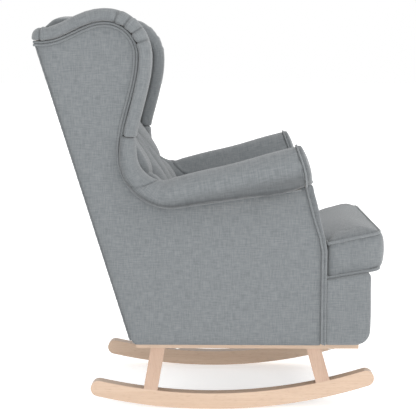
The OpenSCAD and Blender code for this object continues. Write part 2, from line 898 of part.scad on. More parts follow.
// Plan of the T-shaped cushion as [x, fore], grown by g.
module cushion_plan(g) {
    half = wall_in - cushion_gap - welt_r - 1 + g;
    ear = ear_half + g;
    back = pad_foot() + 1.5 + welt_r - g;
    shoulder = arm_front + facing_t + 1 + cushion_gap + welt_r - g;
    front = cushion_front + g;
    r = 26;
    polygon(concat(
        [[-half, back], [half, back], [half, shoulder]],
        [[ear, shoulder]],
        arc([ear - r, front - r], r, 0, 90, 6),
        arc([r - ear, front - r], r, 90, 180, 6),
        [[-ear, shoulder], [-half, shoulder]]
    ));
}

cushion_skin = 2;

module cushion_body(g) {
    seat_layer(0 - g, cushion_t + g) cushion_plan(g);
    seat_layer(cushion_t + g - 0.5, cushion_t + cushion_crown + g) cushion_plan(g - 42);
    seat_layer(18 - g, cushion_t - 18 + g)
        translate([42 - ear_half - g, cushion_front - 20]) square([2 * (ear_half - 42 + g), 20 + cushion_bulge + g]);
}

zip_len = 300;
zip_w = 9;

module zip_space(clear) {
    back = pad_foot() + 1.5 + welt_r;
    seat_layer(cushion_t / 2 - zip_w / 2 - clear, cushion_t / 2 + zip_w / 2 + clear)
        translate([-zip_len / 2 - clear, back - (clear > 0 ? 1 : 0)])
            square([zip_len + 2 * clear, cushion_skin + (clear > 0 ? 1 : -0.3)]);
}

module cushion_cover() {
    color(cloth) difference() {
        cushion_body(0);
        cushion_body(-cushion_skin);
        zip_space(fit);
    }
}

module cushion_foam() {
    color(foam) cushion_body(-cushion_skin - 0.1);
}

module cushion_zip() {
    color(felt) zip_space(0);
}

// Piping round the top and bottom seams of the cushion.
module cushion_welts() {
    color(cloth) for (low = [0, cushion_t - welt_d])
        difference() {
            seat_layer(low, low + welt_d) cushion_plan(welt_r);
            seat_layer(low - 1, low + welt_d + 1) cushion_plan(0.05);
        }
}

rocker_left();
rocker_right();
rear_leg_left();
rear_leg_right();
front_leg_left();
front_leg_right();
mounting_rail_left();
mounting_rail_right();
leg_dowels();
base_bolts();
base_washers();
tee_nuts();
seat_side_rail_left();
seat_side_rail_right();
seat_front_rail();
seat_back_rail();
corner_blocks();
seat_springs();
spring_clips();
deck_pad();
dust_cover();
arm_frame_left();
arm_frame_right();
wing_frame_left();
wing_frame_right();
arm_board_left();
arm_board_right();
back_post_left();
back_post_right();
back_top_rail();
back_bottom_rail();
back_webbing();
arm_pad_left();
arm_pad_right();
wing_pad_left();
wing_pad_right();
side_cover_left();
side_cover_right();
back_cover();
wing_roll_left();
wing_roll_right();
arm_roll_left();
arm_roll_right();
arm_facing_left();
arm_facing_right();
side_welt_left();
side_welt_right();
facing_welt_left();
facing_welt_right();
back_pad();
back_buttons();
crest_roll();
front_border();
cushion_cover();
cushion_foam();
cushion_zip();
cushion_welts();
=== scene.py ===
# %% [markdown]
# # A wing-back rocking chair
# The chair is an upholstered armchair on two bent wooden rockers. The frame, the rockers and
# every hidden rail come from the CAD model, which stays where it is. What is made here is what
# an upholsterer adds: padded rolls, tufted back, piped cushion, covers, and all the finishes.
# The cells go in the order of the work: tools, materials, panels, rolls, back, cushion, stage.

# %% Load the frame
import math
import bmesh
import bpy
import numpy as np
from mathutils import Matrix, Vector
from mathutils.bvhtree import BVHTree
from mathutils.kdtree import KDTree


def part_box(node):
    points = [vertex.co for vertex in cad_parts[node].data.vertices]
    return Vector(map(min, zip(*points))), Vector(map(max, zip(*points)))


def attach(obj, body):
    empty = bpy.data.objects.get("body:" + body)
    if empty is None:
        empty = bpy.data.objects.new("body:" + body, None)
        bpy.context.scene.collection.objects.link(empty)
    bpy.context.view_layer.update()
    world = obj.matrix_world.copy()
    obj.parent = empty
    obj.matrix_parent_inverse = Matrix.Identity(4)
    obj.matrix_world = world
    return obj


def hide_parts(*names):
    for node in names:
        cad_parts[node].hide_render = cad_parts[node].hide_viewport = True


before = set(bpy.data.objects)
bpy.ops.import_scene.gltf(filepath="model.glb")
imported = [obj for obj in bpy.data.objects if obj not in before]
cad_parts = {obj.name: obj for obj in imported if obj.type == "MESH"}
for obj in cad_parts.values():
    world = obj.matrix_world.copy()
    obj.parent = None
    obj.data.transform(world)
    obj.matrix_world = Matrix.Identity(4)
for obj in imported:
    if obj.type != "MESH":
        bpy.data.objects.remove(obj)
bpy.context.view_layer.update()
SIDES = ("left", "right")
MM = 0.001
print("frame loaded:", len(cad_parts), "nodes")

# %% [markdown]
# ## The camera
# The camera looks from the sitter's right, a little above the arms, with a long lens. It is made
# first, so every later check can look through it. It is turned down a few degrees, and the lens
# is long enough that the two sides of the chair nearly line up.

# %% Camera
def add_to_scene(name, data):
    item = bpy.data.objects.new(name, data)
    bpy.context.scene.collection.objects.link(item)
    return item


CAMERA_PLACE = (-2.883, -0.0318, 0.85)
CAMERA_DOWN = 7.267
CAMERA_TURN = 0.886
CAMERA_LENS = 94.33


def make_camera():
    data = bpy.data.cameras.new("camera")
    data.lens = CAMERA_LENS
    data.sensor_width = 36
    camera = add_to_scene("camera", data)
    down, turn = math.radians(CAMERA_DOWN), math.radians(CAMERA_TURN)
    ahead = Vector((math.cos(down) * math.cos(turn), math.cos(down) * math.sin(turn), -math.sin(down)))
    camera.location = CAMERA_PLACE
    camera.rotation_euler = ahead.to_track_quat("-Z", "Y").to_euler()
    bpy.context.scene.camera = camera


make_camera()
print("camera at", CAMERA_PLACE)

# %% [markdown]
# ## Shader groups
# Two effects are used by many materials, so each is a node group that is built once: a linen
# weave with slubs, and a straight wood grain with pores. A group only gives out colours and a
# height, and the shader itself stays in the material, where it can be exported.

# %% Helpers for shader nodes
def new_group(name, inputs, outputs):
    """A shader node group: (name, kind, default) for each input, (name, kind) for each output."""
    group = bpy.data.node_groups.new(name, "ShaderNodeTree")
    for label, kind, default in inputs:
        socket = group.interface.new_socket(name=label, in_out="INPUT", socket_type=kind)
        if default is not None:
            socket.default_value = default
    for label, kind in outputs:
        group.interface.new_socket(name=label, in_out="OUTPUT", socket_type=kind)
    return group, group.nodes.new("NodeGroupInput"), group.nodes.new("NodeGroupOutput")


def set_inputs(tree, node, inputs):
    """Gives a node its inputs: an output of another node is linked, a number or colour set on the socket."""
    for label, value in inputs.items():
        socket = node.inputs[label]
        if isinstance(value, bpy.types.NodeSocket):
            tree.links.new(value, socket)
        elif socket.type == "RGBA":
            socket.default_value = (*value[:3], 1.0)
        else:
            socket.default_value = value


def add_node(tree, kind, inputs, **settings):
    node = tree.nodes.new("ShaderNode" + kind)
    for label, value in settings.items():
        setattr(node, label, value)
    set_inputs(tree, node, inputs)
    return node


def math_node(tree, operation, *values):
    return add_node(tree, "Math", dict(enumerate(values)), operation=operation).outputs[0]


def stretched_noise(tree, vector, stretch, detail=2.0, rough=0.5):
    """Noise whose blobs are stretched: stretch is the number of blobs per metre along each axis."""
    place = add_node(tree, "Mapping", {"Scale": stretch, "Vector": vector}).outputs[0]
    values = {"Scale": 1.0, "Detail": detail, "Roughness": rough, "Vector": place}
    return add_node(tree, "TexNoise", values).outputs["Fac"]


def spread(tree, value, low, high, out_low=0.0, out_high=1.0):
    values = {"From Min": low, "From Max": high, "To Min": out_low, "To Max": out_high, "Value": value}
    return add_node(tree, "MapRange", values).outputs[0]


def mix_colors(tree, factor, a, b, blend="MIX"):
    return add_node(tree, "Mix", {0: factor, 6: a, 7: b}, data_type="RGBA", blend_type=blend).outputs[2]


# %% [markdown]
# Linen-look cloth is a plain weave of yarns that are thick in places. From a distance the yarns
# can't be told apart, but the thick places, the slubs, show as short light and dark dashes that
# run both ways. Two noises, each stretched along one yarn direction, give the dashes, and two
# sine waves that take turns on a checker give the weave itself for the bump.

# %% Linen weave group
YARN_PITCH = 1.3 * MM


def build_weave_group():
    group, given, result = new_group(
        "linen_weave",
        [("Vector", "NodeSocketVector", None), ("Dark", "NodeSocketColor", (0.2, 0.2, 0.2, 1)),
         ("Light", "NodeSocketColor", (0.3, 0.3, 0.3, 1)), ("Contrast", "NodeSocketFloat", 1.0)],
        [("Color", "NodeSocketColor"), ("Height", "NodeSocketFloat"), ("Roughness", "NodeSocketFloat")],
    )
    vector = given.outputs["Vector"]
    split = add_node(group, "SeparateXYZ", {0: vector})
    turns = [math_node(group, "MULTIPLY", split.outputs[k], math.pi / YARN_PITCH) for k in (0, 1)]
    weft, warp = [math_node(group, "ABSOLUTE", math_node(group, "SINE", turn)) for turn in turns]
    over = add_node(group, "TexChecker", {"Scale": 1 / YARN_PITCH, "Vector": vector}).outputs["Fac"]
    weave = math_node(
        group, "ADD", math_node(group, "MULTIPLY", weft, over),
        math_node(group, "MULTIPLY", warp, math_node(group, "SUBTRACT", 1.0, over)),
    )
    slub_weft = spread(group, stretched_noise(group, vector, (42, 400, 1), 3.0, 0.62), 0.3, 0.7, -0.45, 0.45)
    slub_warp = spread(group, stretched_noise(group, vector, (400, 38, 1), 3.0, 0.62), 0.3, 0.7, -0.42, 0.42)
    cloud = spread(group, stretched_noise(group, vector, (22, 26, 1), 3.0, 0.6), 0.3, 0.7, -0.05, 0.05)
    dashes = math_node(group, "ADD", slub_weft, slub_warp)
    shade = math_node(group, "ADD", dashes, cloud)
    shade = math_node(group, "ADD", shade, spread(group, weave, 0.0, 1.0, -0.25, 0.2))
    factor = math_node(group, "ADD", math_node(group, "MULTIPLY", shade, given.outputs["Contrast"]), 0.5)
    factor = spread(group, factor, 0.0, 1.0)
    color = mix_colors(group, factor, given.outputs["Dark"], given.outputs["Light"])
    threads = math_node(group, "MULTIPLY", weave, 0.6)
    height = math_node(group, "ADD", threads, math_node(group, "MULTIPLY", dashes, 0.5))
    rough = spread(group, weave, 0.0, 1.0, 0.95, 0.82)
    set_inputs(group, result, {"Color": color, "Height": height, "Roughness": rough})
    return group


WEAVE = build_weave_group()
print("weave group:", len(WEAVE.nodes), "nodes")

# %% [markdown]
# The rockers are pale, straight-grained hardwood under a satin lacquer. Fine streaks run along
# each board, with broader bands of warmer and cooler wood and many short dark pores. One group
# makes all three from a vector that is first scaled so that its Z axis runs along the board.

# %% Wood grain group
def build_grain_group():
    group, given, result = new_group(
        "wood_grain",
        [("Vector", "NodeSocketVector", None), ("Pale", "NodeSocketColor", (0.7, 0.5, 0.4, 1)),
         ("Warm", "NodeSocketColor", (0.6, 0.4, 0.3, 1)), ("Pore", "NodeSocketColor", (0.3, 0.2, 0.1, 1))],
        [("Color", "NodeSocketColor"), ("Height", "NodeSocketFloat"), ("Roughness", "NodeSocketFloat")],
    )
    vector = given.outputs["Vector"]
    streaks = stretched_noise(group, vector, (420, 420, 9), 4.0, 0.65)
    bands = stretched_noise(group, vector, (46, 46, 2.2), 3.0, 0.55)
    pores = stretched_noise(group, vector, (900, 900, 60), 1.0, 0.5)
    streaked = spread(group, streaks, 0.35, 0.68, 0.0, 0.55)
    tone = math_node(group, "ADD", streaked, spread(group, bands, 0.35, 0.68, 0.0, 0.5))
    color = mix_colors(group, tone, given.outputs["Pale"], given.outputs["Warm"])
    pore = spread(group, pores, 0.62, 0.74, 0.0, 0.55)
    color = mix_colors(group, pore, color, given.outputs["Pore"])
    height = math_node(group, "SUBTRACT", math_node(group, "MULTIPLY", streaks, 0.5), pore)
    rough = spread(group, streaks, 0.3, 0.7, 0.38, 0.52)
    set_inputs(group, result, {"Color": color, "Height": height, "Roughness": rough})
    return group


GRAIN = build_grain_group()
print("grain group:", len(GRAIN.nodes), "nodes")

# %% [markdown]
# ## Materials
# Cloth gets the weave in metres of cloth from each piece's own UV map, so the yarns have the
# same size everywhere. Seams, folds and undersides get painted shade: each piece keeps a shade
# value that paints its cloth darker there. A little sheen stands for the fuzz of
# the yarns. Wood reads its place in the chair and is turned to run along each board.

# %% Material makers
# Colour of the painted shade that darkens cloth in seams, folds and under rolls and overhangs.
CREASE_SHADE = (0.30, 0.31, 0.32)


def start_material(name):
    material = bpy.data.materials.new(name)
    material.use_nodes = True
    tree = material.node_tree
    tree.nodes.clear()
    output = add_node(tree, "OutputMaterial", {})
    shader = add_node(tree, "BsdfPrincipled", {})
    tree.links.new(shader.outputs[0], output.inputs["Surface"])
    return material, tree, shader


def bump(tree, height, strength, distance):
    values = {"Strength": strength, "Distance": distance, "Height": height}
    return add_node(tree, "Bump", values).outputs[0]


def object_place(tree):
    return add_node(tree, "TexCoord", {}).outputs["Object"]


def turned_place(tree, degrees):
    turn = [math.radians(a) for a in degrees]
    return add_node(tree, "Mapping", {"Rotation": turn, "Vector": object_place(tree)})


def cloth_material(name, dark, light, contrast=1.0, relief=0.35, sheen=0.25, upright=False):
    """Woven cloth laid by the piece's cloth map; upright is for CAD pieces that stand across the chair."""
    material, tree, shader = start_material(name)
    place = turned_place(tree, (-90, 0, 0)) if upright else add_node(tree, "UVMap", {}, uv_map="cloth")
    values = {"Vector": place.outputs[0], "Dark": dark, "Light": light, "Contrast": contrast}
    weave = add_node(tree, "Group", values, node_tree=WEAVE).outputs
    # Painted shade: the cloth colour is multiplied darker by each piece's painted shade value, standing in
    # for shade in seams, folds and undersides.
    painted_shade = add_node(tree, "Attribute", {}, attribute_name="painted_shade").outputs["Fac"]
    painted_shade_tint = mix_colors(tree, painted_shade, (1.0, 1.0, 1.0), CREASE_SHADE)
    set_inputs(tree, shader, {
        "Base Color": mix_colors(tree, 1.0, weave["Color"], painted_shade_tint, "MULTIPLY"),
        "Roughness": weave["Roughness"],
        "Sheen Weight": sheen, "Sheen Roughness": 0.6, "Specular IOR Level": 0.2,
        "Normal": bump(tree, weave["Height"], relief, 0.4 * MM),
    })
    return material


def wood_material(name, pale, warm, pore, turn=(0, 0, 0), coat=0.0):
    material, tree, shader = start_material(name)
    values = {"Vector": turned_place(tree, turn).outputs[0], "Pale": pale, "Warm": warm, "Pore": pore}
    grain = add_node(tree, "Group", values, node_tree=GRAIN).outputs
    set_inputs(tree, shader, {
        "Base Color": grain["Color"], "Roughness": grain["Roughness"], "Coat Weight": coat,
        "Coat Roughness": 0.3, "Normal": bump(tree, grain["Height"], 0.25, 0.15 * MM),
    })
    return material


# %% [markdown]
# All cloths share the weave and differ in colour and strength. The piping is cut across the
# yarns, so its threads stand out more. The cotton, the felt and the webbing are hardly seen.

# %% Cloths
CLOTH = cloth_material("grey_linen", (0.102, 0.112, 0.118), (0.155, 0.165, 0.171))
PIPING = cloth_material("grey_linen_piping", (0.106, 0.116, 0.122), (0.158, 0.168, 0.174), 0.8, 0.5)
DECK = cloth_material("deck_cotton", (0.20, 0.21, 0.22), (0.26, 0.27, 0.28), 0.6, 0.2)
BLACK = cloth_material("black_felt", (0.012, 0.012, 0.013), (0.03, 0.03, 0.032), 0.8, 0.15, 0.1)
WEBBING = cloth_material("black_webbing", (0.014, 0.014, 0.015), (0.04, 0.04, 0.042), 1.0, 0.4, 0.1, True)
print("cloth materials made")

# %% [markdown]
# Each wood is made once for each way its boards run. The base is lacquered, which is a thin coat
# over the grain, and its legs are a shade redder than its rockers. The hidden frame is bare pine
# and plywood.

# %% Woods
LACQUER = 0.2
BASE_LONG = [(0.49, 0.365, 0.27), (0.41, 0.288, 0.205), (0.27, 0.175, 0.115)]
BASE_UP = [(0.425, 0.296, 0.22), (0.35, 0.232, 0.166), (0.25, 0.165, 0.11)]
PINE = [(0.72, 0.52, 0.30), (0.60, 0.38, 0.18), (0.34, 0.2, 0.1)]
ROCKER_ALONG = wood_material("rocker_wood_long", *BASE_LONG, (90, 0, 0), LACQUER)
ROCKER_UP = wood_material("rocker_wood_upright", *BASE_UP, (8, 0, 0), LACQUER)
PINE_ALONG = wood_material("frame_pine_long", *PINE, (90, 0, 0))
PINE_ACROSS = wood_material("frame_pine_cross", *PINE, (0, 90, 0))
PLY = wood_material("plywood_face", (0.62, 0.43, 0.26), (0.50, 0.33, 0.18), (0.28, 0.17, 0.09), (17, 0, 0))
DOWEL = wood_material("beech_dowel", (0.68, 0.48, 0.31), (0.56, 0.37, 0.22), (0.3, 0.18, 0.1))
print("six woods made")

# %% [markdown]
# Steel bolts and springs are zinc-plated: a grey metal with a fine brushed streak and a cloudy
# change of roughness. Foam is a creamy open-cell block, with cells from a Voronoi pattern. The
# zip is woven nylon tape with a row of teeth along it.

# %% Steel, foam and zip
def steel_material():
    material, tree, shader = start_material("zinc_plate")
    place = object_place(tree)
    cloud = stretched_noise(tree, place, (180, 180, 180), 3.0)
    brushed = stretched_noise(tree, place, (90, 90, 2500), 1.0)
    set_inputs(tree, shader, {
        "Base Color": mix_colors(tree, cloud, (0.42, 0.42, 0.40), (0.62, 0.61, 0.57)), "Metallic": 1.0,
        "Roughness": spread(tree, cloud, 0.3, 0.7, 0.28, 0.5), "Normal": bump(tree, brushed, 0.2, 0.1 * MM),
    })
    return material


def foam_material():
    material, tree, shader = start_material("cream_foam")
    place = object_place(tree)
    cells = add_node(tree, "TexVoronoi", {"Scale": 700, "Vector": place}).outputs["Distance"]
    yellowing = stretched_noise(tree, place, (9, 9, 9), 3.0)
    set_inputs(tree, shader, {
        "Base Color": mix_colors(tree, yellowing, (0.70, 0.64, 0.48), (0.78, 0.74, 0.62)), "Roughness": 0.95,
        "Normal": bump(tree, cells, 0.5, 0.6 * MM),
    })
    return material


def zip_material():
    material, tree, shader = start_material("nylon_zip")
    across = add_node(tree, "SeparateXYZ", {0: object_place(tree)}).outputs[0]
    teeth = math_node(tree, "SINE", math_node(tree, "MULTIPLY", across, math.tau / (1.6 * MM)))
    color = mix_colors(tree, spread(tree, teeth, -1.0, 1.0), (0.12, 0.13, 0.135), (0.26, 0.28, 0.29))
    normal = bump(tree, teeth, 0.6, 0.4 * MM)
    set_inputs(tree, shader, {"Base Color": color, "Roughness": 0.5, "Normal": normal})
    return material


STEEL, FOAM, ZIP = steel_material(), foam_material(), zip_material()
print("all materials made")

# %% [markdown]
# ## Finishes on the CAD pieces
# The wooden base, the frame and the fasteners keep their CAD shape and only take a material.

# %% Paint the carried-over nodes
PAIRS = {
    "rocker": ROCKER_ALONG, "mounting_rail": ROCKER_ALONG, "rear_leg": ROCKER_UP,
    "front_leg": ROCKER_UP, "seat_side_rail": PINE_ALONG, "arm_board": PINE_ALONG,
    "back_post": PLY, "arm_frame": PLY, "wing_frame": PLY,
}
FINISHES = {f"{node}_{side}": material for node, material in PAIRS.items() for side in SIDES} | {
    "leg_dowels": DOWEL, "base_bolts": STEEL, "base_washers": STEEL, "tee_nuts": STEEL,
    "seat_springs": STEEL, "spring_clips": STEEL, "seat_front_rail": PINE_ACROSS,
    "seat_back_rail": PINE_ACROSS, "corner_blocks": PINE_ACROSS, "back_top_rail": PINE_ACROSS,
    "back_bottom_rail": PINE_ACROSS, "back_webbing": WEBBING, "cushion_foam": FOAM, "cushion_zip": ZIP,
}


def set_material(item, material):
    item.data.materials.clear()
    item.data.materials.append(material)


for node, material in FINISHES.items():
    set_material(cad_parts[node], material)
print("finished nodes:", len(FINISHES))

# %% [markdown]
# ## Working with soft pieces
# Every soft piece starts from the space that its CAD solid holds: the solid is copied, its loose
# triangles are merged, and a voxel remesh turns it into an even net of small squares. That net can
# then be puffed, creased or simulated, and the CAD solid itself is hidden and kept for collision.

# %% Helpers for meshes
def cad_copy(node):
    """A bmesh with the shape of a CAD node, with its loose triangles merged."""
    bm = bmesh.new()
    bm.from_mesh(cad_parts[node].data)
    bmesh.ops.remove_doubles(bm, verts=bm.verts, dist=0.005 * MM)
    bm.normal_update()
    return bm


def make_object(name, bm):
    mesh = bpy.data.meshes.new(name)
    bm.to_mesh(mesh)
    bm.free()
    return add_to_scene(name, mesh)


def apply_modifiers(item):
    shaped = item.evaluated_get(bpy.context.evaluated_depsgraph_get())
    mesh = bpy.data.meshes.new_from_object(shaped)
    item.modifiers.clear()
    item.data = mesh


def remesh(item, voxel):
    step = item.modifiers.new("remesh", "REMESH")
    step.mode = "VOXEL"
    step.voxel_size = voxel
    apply_modifiers(item)


def subdivide(item):
    step = item.modifiers.new("subdivision", "SUBSURF")
    step.levels = step.render_levels = 1
    apply_modifiers(item)


def smooth(item, times):
    step = item.modifiers.new("smooth", "SMOOTH")
    step.factor = 0.5
    step.iterations = times
    apply_modifiers(item)


def soft_copy(name, node, voxel, smoothing):
    """An evenly netted copy of a CAD node, smoothed this many times."""
    item = make_object(name, cad_copy(node))
    remesh(item, voxel)
    if smoothing:
        smooth(item, smoothing)
    return item


def read_vectors(rows, label):
    flat = np.zeros(len(rows) * 3, np.float32)
    rows.foreach_get(label, flat)
    return flat.reshape(-1, 3).astype(float)


def get_points(item):
    return read_vectors(item.data.vertices, "co")


def get_normals(item):
    return read_vectors(item.data.vertex_normals, "vector")


def set_points(item, points):
    item.data.vertices.foreach_set("co", points.astype(np.float32).ravel())
    item.data.update()


def ease(t):
    """0 below 0, 1 above 1, and a smooth rise between."""
    t = np.clip(t, 0, 1)
    return t * t * (3 - 2 * t)


def bell(away, width):
    """1 where away is nought, fading out on both sides over about this width."""
    return np.exp(-((away / width) ** 2))


def fade(away, reach):
    """1 where away is nought, dying out beyond it like a sound."""
    return np.exp(-away / reach)


def roll_over(x, half, reach):
    """How far a surface has rounded off, 0 to 1, within this reach of its two side edges."""
    side = np.clip((half - np.abs(x)) / reach, 0, 1)
    return 1 - np.sqrt(1 - (1 - side) ** 2)


# %% [markdown]
# Cloth is laid on a piece as a UV map in metres, either from numbers that follow the piece, such
# as the way along a roll, or straight down on each face from the side that it mostly looks to.
# The right side of the chair is the left side mirrored, as when panels are cut in pairs.

# %% Laying cloth, finishing and mirroring a piece
def lay_cloth(item, per_point=None):
    """Makes the cloth map: from per_point if given, or each face along its main direction."""
    mesh = item.data
    for layer in list(mesh.uv_layers):
        mesh.uv_layers.remove(layer)
    layer = mesh.uv_layers.new(name="cloth")
    corner = np.zeros(len(mesh.loops), np.int32)
    mesh.loops.foreach_get("vertex_index", corner)
    if per_point is None:
        normals = np.zeros(len(mesh.polygons) * 3, np.float32)
        mesh.polygon_normals.foreach_get("vector", normals)
        sizes = np.zeros(len(mesh.polygons), np.int32)
        mesh.polygons.foreach_get("loop_total", sizes)
        main = np.repeat(np.abs(normals.reshape(-1, 3)).argmax(1), sizes)
        flat = np.array([(1, 2), (0, 2), (0, 1)])[main]
        place = get_points(item)[corner]
        uv = np.take_along_axis(place, flat, 1)
    else:
        uv = per_point[corner]
    layer.uv.foreach_set("vector", uv.astype(np.float32).ravel())


def paint_shade(item, depth):
    """Keeps painted shade at each point, from 0 to 1, for the cloth to be painted darker there: in seams,
    folds and under overhangs.
    """
    layer = item.data.attributes.new("painted_shade", "FLOAT", "POINT")
    layer.data.foreach_set("value", np.clip(depth, 0, 1).astype(np.float32))


def shade_smooth(item):
    item.data.polygons.foreach_set("use_smooth", np.ones(len(item.data.polygons), bool))
    item.data.update()


def finish_piece(item, nodes, material, body="chair"):
    """Paints a soft piece, hides the CAD nodes it stands for and fixes it to its body."""
    set_material(item, material)
    shade_smooth(item)
    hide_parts(*nodes)
    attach(item, body)
    print(item.name, len(item.data.polygons), "faces")


def mirrored(item, name):
    """The same piece for the chair's other side."""
    bm = bmesh.new()
    bm.from_mesh(item.data)
    bmesh.ops.scale(bm, vec=(-1, 1, 1), verts=bm.verts)
    bmesh.ops.reverse_faces(bm, faces=bm.faces)
    return make_object(name, bm)


def both_sides(left, node, material=None):
    """Finishes the left piece and its mirror image; node is the CAD name without left or right."""
    for side, item in zip(SIDES, (left, mirrored(left, node + "_right_soft"))):
        finish_piece(item, [f"{node}_{side}"], material or CLOTH)


# %% [markdown]
# Seams follow the outlines of the CAD pieces. An outline is read by walking along the edges that
# have only one face in the chosen patch, and a search tree then tells how near each point is.

# %% Outlines read from the frame
def rim_loops(bm, faces):
    """The closed outlines of a patch of faces, each as an ordered list of points."""
    patch = set(faces)
    edges = [e for e in bm.edges if sum(f in patch for f in e.link_faces) == 1]
    links = {}
    for e in edges:
        for v in e.verts:
            links.setdefault(v, []).append(e)
    loops, used = [], set()
    for first in edges:
        if first in used:
            continue
        loop, edge, vert = [first.verts[0].co.copy()], first, first.verts[1]
        used.add(first)
        while vert is not first.verts[0]:
            loop.append(vert.co.copy())
            edge = next(e for e in links[vert] if e not in used)
            used.add(edge)
            vert = edge.other_vert(vert)
        loops.append(loop)
    return loops


def spaced(path, gap, closed=False):
    """Points every gap metres along a path, as an array."""
    path = np.array(path, float)
    if closed:
        path = np.vstack([path, path[:1]])
    run = np.concatenate([[0], np.cumsum(np.linalg.norm(np.diff(path, axis=0), axis=1))])
    count = max(2, int(run[-1] / gap) + 1)
    at = np.linspace(0, run[-1], count)
    if closed:
        at = at[:-1]
    return np.stack([np.interp(at, run, path[:, k]) for k in range(path.shape[1])], 1)


def rounded(path, times):
    """The same path with its corners worn round: each point moves to the mean of its neighbours."""
    path = path.copy()
    for _ in range(times):
        path[1:-1] = (path[:-2] + path[1:-1] * 2 + path[2:]) / 4
    return path


def search_tree(path):
    tree = KDTree(len(path))
    for i, p in enumerate(path):
        tree.insert(p if len(p) == 3 else (*p, 0), i)
    tree.balance()
    return tree


# %% [markdown]
# The outline of the outer side cover gives the line that everything follows: it runs from the top
# rear corner over the wing, down through the waist and along the arm to its front. The rolls lie on
# this line and the double piping runs just inside it.

# %% The padded edge of the side wall
def turning(loop, i):
    before, here, after = loop[i - 1], loop[i], loop[(i + 1) % len(loop)]
    return (here - before).angle(after - here)


def read_edge():
    bm = cad_copy("side_cover_left")
    loop = rim_loops(bm, [f for f in bm.faces if f.normal.x > 0.99])[0]
    bm.free()
    rear = max(range(len(loop)), key=lambda i: loop[i].y)
    tip_choices = [i for i in range(len(loop)) if loop[i].z > 0.5 and loop[i].y < -0.1]
    tip = max(tip_choices, key=lambda i: turning(loop, i))
    forward = [loop[(rear + k) % len(loop)] for k in range((tip - rear) % len(loop) + 1)]
    backward = [loop[(rear - k) % len(loop)] for k in range((rear - tip) % len(loop) + 1)]
    edge = max((forward, backward), key=lambda path: max(p.z for p in path))
    return [(p.y, p.z) for p in edge]


EDGE = rounded(spaced(read_edge(), 2 * MM), 12)
EDGE_RUN = np.concatenate([[0], np.cumsum(np.linalg.norm(np.diff(EDGE, axis=0), axis=1))])
EDGE_AHEAD = np.gradient(EDGE, axis=0)
EDGE_AHEAD /= np.linalg.norm(EDGE_AHEAD, axis=1)[:, None]
EDGE_OUT = np.stack([EDGE_AHEAD[:, 1], -EDGE_AHEAD[:, 0]], 1)
if EDGE_OUT[EDGE[:, 1].argmax(), 1] < 0:
    EDGE_OUT = -EDGE_OUT
EDGE_TREE = search_tree(EDGE)
print("padded edge:", round(float(EDGE_RUN[-1]), 3), "m long")


def along_edge(points):
    """For each point: how far along the padded edge it lies, and how far out from it."""
    index = np.array([EDGE_TREE.find((p[1], p[2], 0))[1] for p in points])
    offset = points[:, 1:] - EDGE[index]
    run = EDGE_RUN[index] + (offset * EDGE_AHEAD[index]).sum(1)
    return run, (offset * EDGE_OUT[index]).sum(1), index


# %% [markdown]
# ## Flat padded panels
# The outer sides, the outer back and the linings of wings and arms are cloth pulled over a thin
# layer of wadding. Such a panel is flat in the middle and rolls over at its edges. A sheet this
# thin would vanish in a remesh, so the copy is thickened first, remeshed, and pressed flat again
# with a pillow-like rise that grows with the distance from its outline.

# %% Panel maker
PANEL_VOXEL = 6 * MM
# Strength of the painted shade along each panel's outline.
PANEL_EDGE_SHADE = 0.3


def soft_panel(name, node, facing, rise, reach, rise_at=None):
    """A padded copy of a flat CAD node. facing is the way its show side looks."""
    facing = Vector(facing).normalized()
    bm = cad_copy(node)
    depth = [v.co.dot(facing) for v in bm.verts]
    low, high = min(depth), max(depth)
    loop = rim_loops(bm, [f for f in bm.faces if f.normal.dot(facing) > 0.99])[0]
    thick = 4 * PANEL_VOXEL
    for v, d in zip(bm.verts, depth):
        v.co += facing * ((d - low) / (high - low) * thick - (d - low))
    item = make_object(name, bm)
    remesh(item, PANEL_VOXEL)
    tree = search_tree(spaced([tuple(p - facing * p.dot(facing)) for p in loop], 4 * MM, closed=True))
    points, ahead = get_points(item), np.array(facing)
    depth = points @ ahead
    share = np.clip((depth - low) / thick, 0, 1)
    flat = points - np.outer(depth, ahead)
    inside = np.array([tree.find(p)[2] for p in flat])
    height = rise * (1 - fade(inside, reach))
    if rise_at is not None:
        height = height * rise_at(points)
    set_points(item, flat + np.outer(low + share * (high - low) + share * height, ahead))
    # Painted shade: darker within a few millimetres of the panel's outline, under the piping and rolls.
    paint_shade(item, PANEL_EDGE_SHADE * fade(inside, 7 * MM))
    lay_cloth(item)
    return item


# %% [markdown]
# The outer sides are pulled flat over card, so they hardly puff. The linings of the wings are
# thickly padded, and those of the arms too, but only above the cushion that presses on them.

# %% Outer sides, linings and outer back
CUSHION_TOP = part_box("cushion_welts")[1].z


def above_cushion(points):
    """The arm linings only puff out above the cushion, where they are free to."""
    return ease((points[:, 2] - CUSHION_TOP) / 0.06) * 0.85 + 0.15


for node, way, rise, reach, rise_at, fill in (
    ("side_cover", 1, 1.5, 10, None, 0.3),
    ("wing_pad", -1, 9, 35, None, 0.7),
    ("arm_pad", -1, 7, 30, above_cushion, 0.7),
):
    panel = soft_panel(node + "_left_soft", node + "_left", (way, 0, 0), rise * MM, reach * MM, rise_at)
    both_sides(panel, node)


def back_facing():
    """The way the outer back looks, read from its largest face."""
    bm = cad_copy("back_cover")
    normal = max((f for f in bm.faces if f.normal.y > 0.5), key=lambda f: f.calc_area()).normal.copy()
    bm.free()
    return normal


outer_back = soft_panel("back_cover_soft", "back_cover", back_facing(), 2 * MM, 14 * MM)
finish_piece(outer_back, ["back_cover"], CLOTH)

# %% [markdown]
# ## The rolls
# A roll of wadding runs along the edge of each wing and thickens into the arm. The cloth is pulled
# round it, so on the tight curve at the top of the wing it has to be taken in by five pleats, and
# the end at the rear is closed as a round knob. The pleats are pressed into the net as narrow
# valleys across the roll, deepest beside the piping and fading out over its crown.

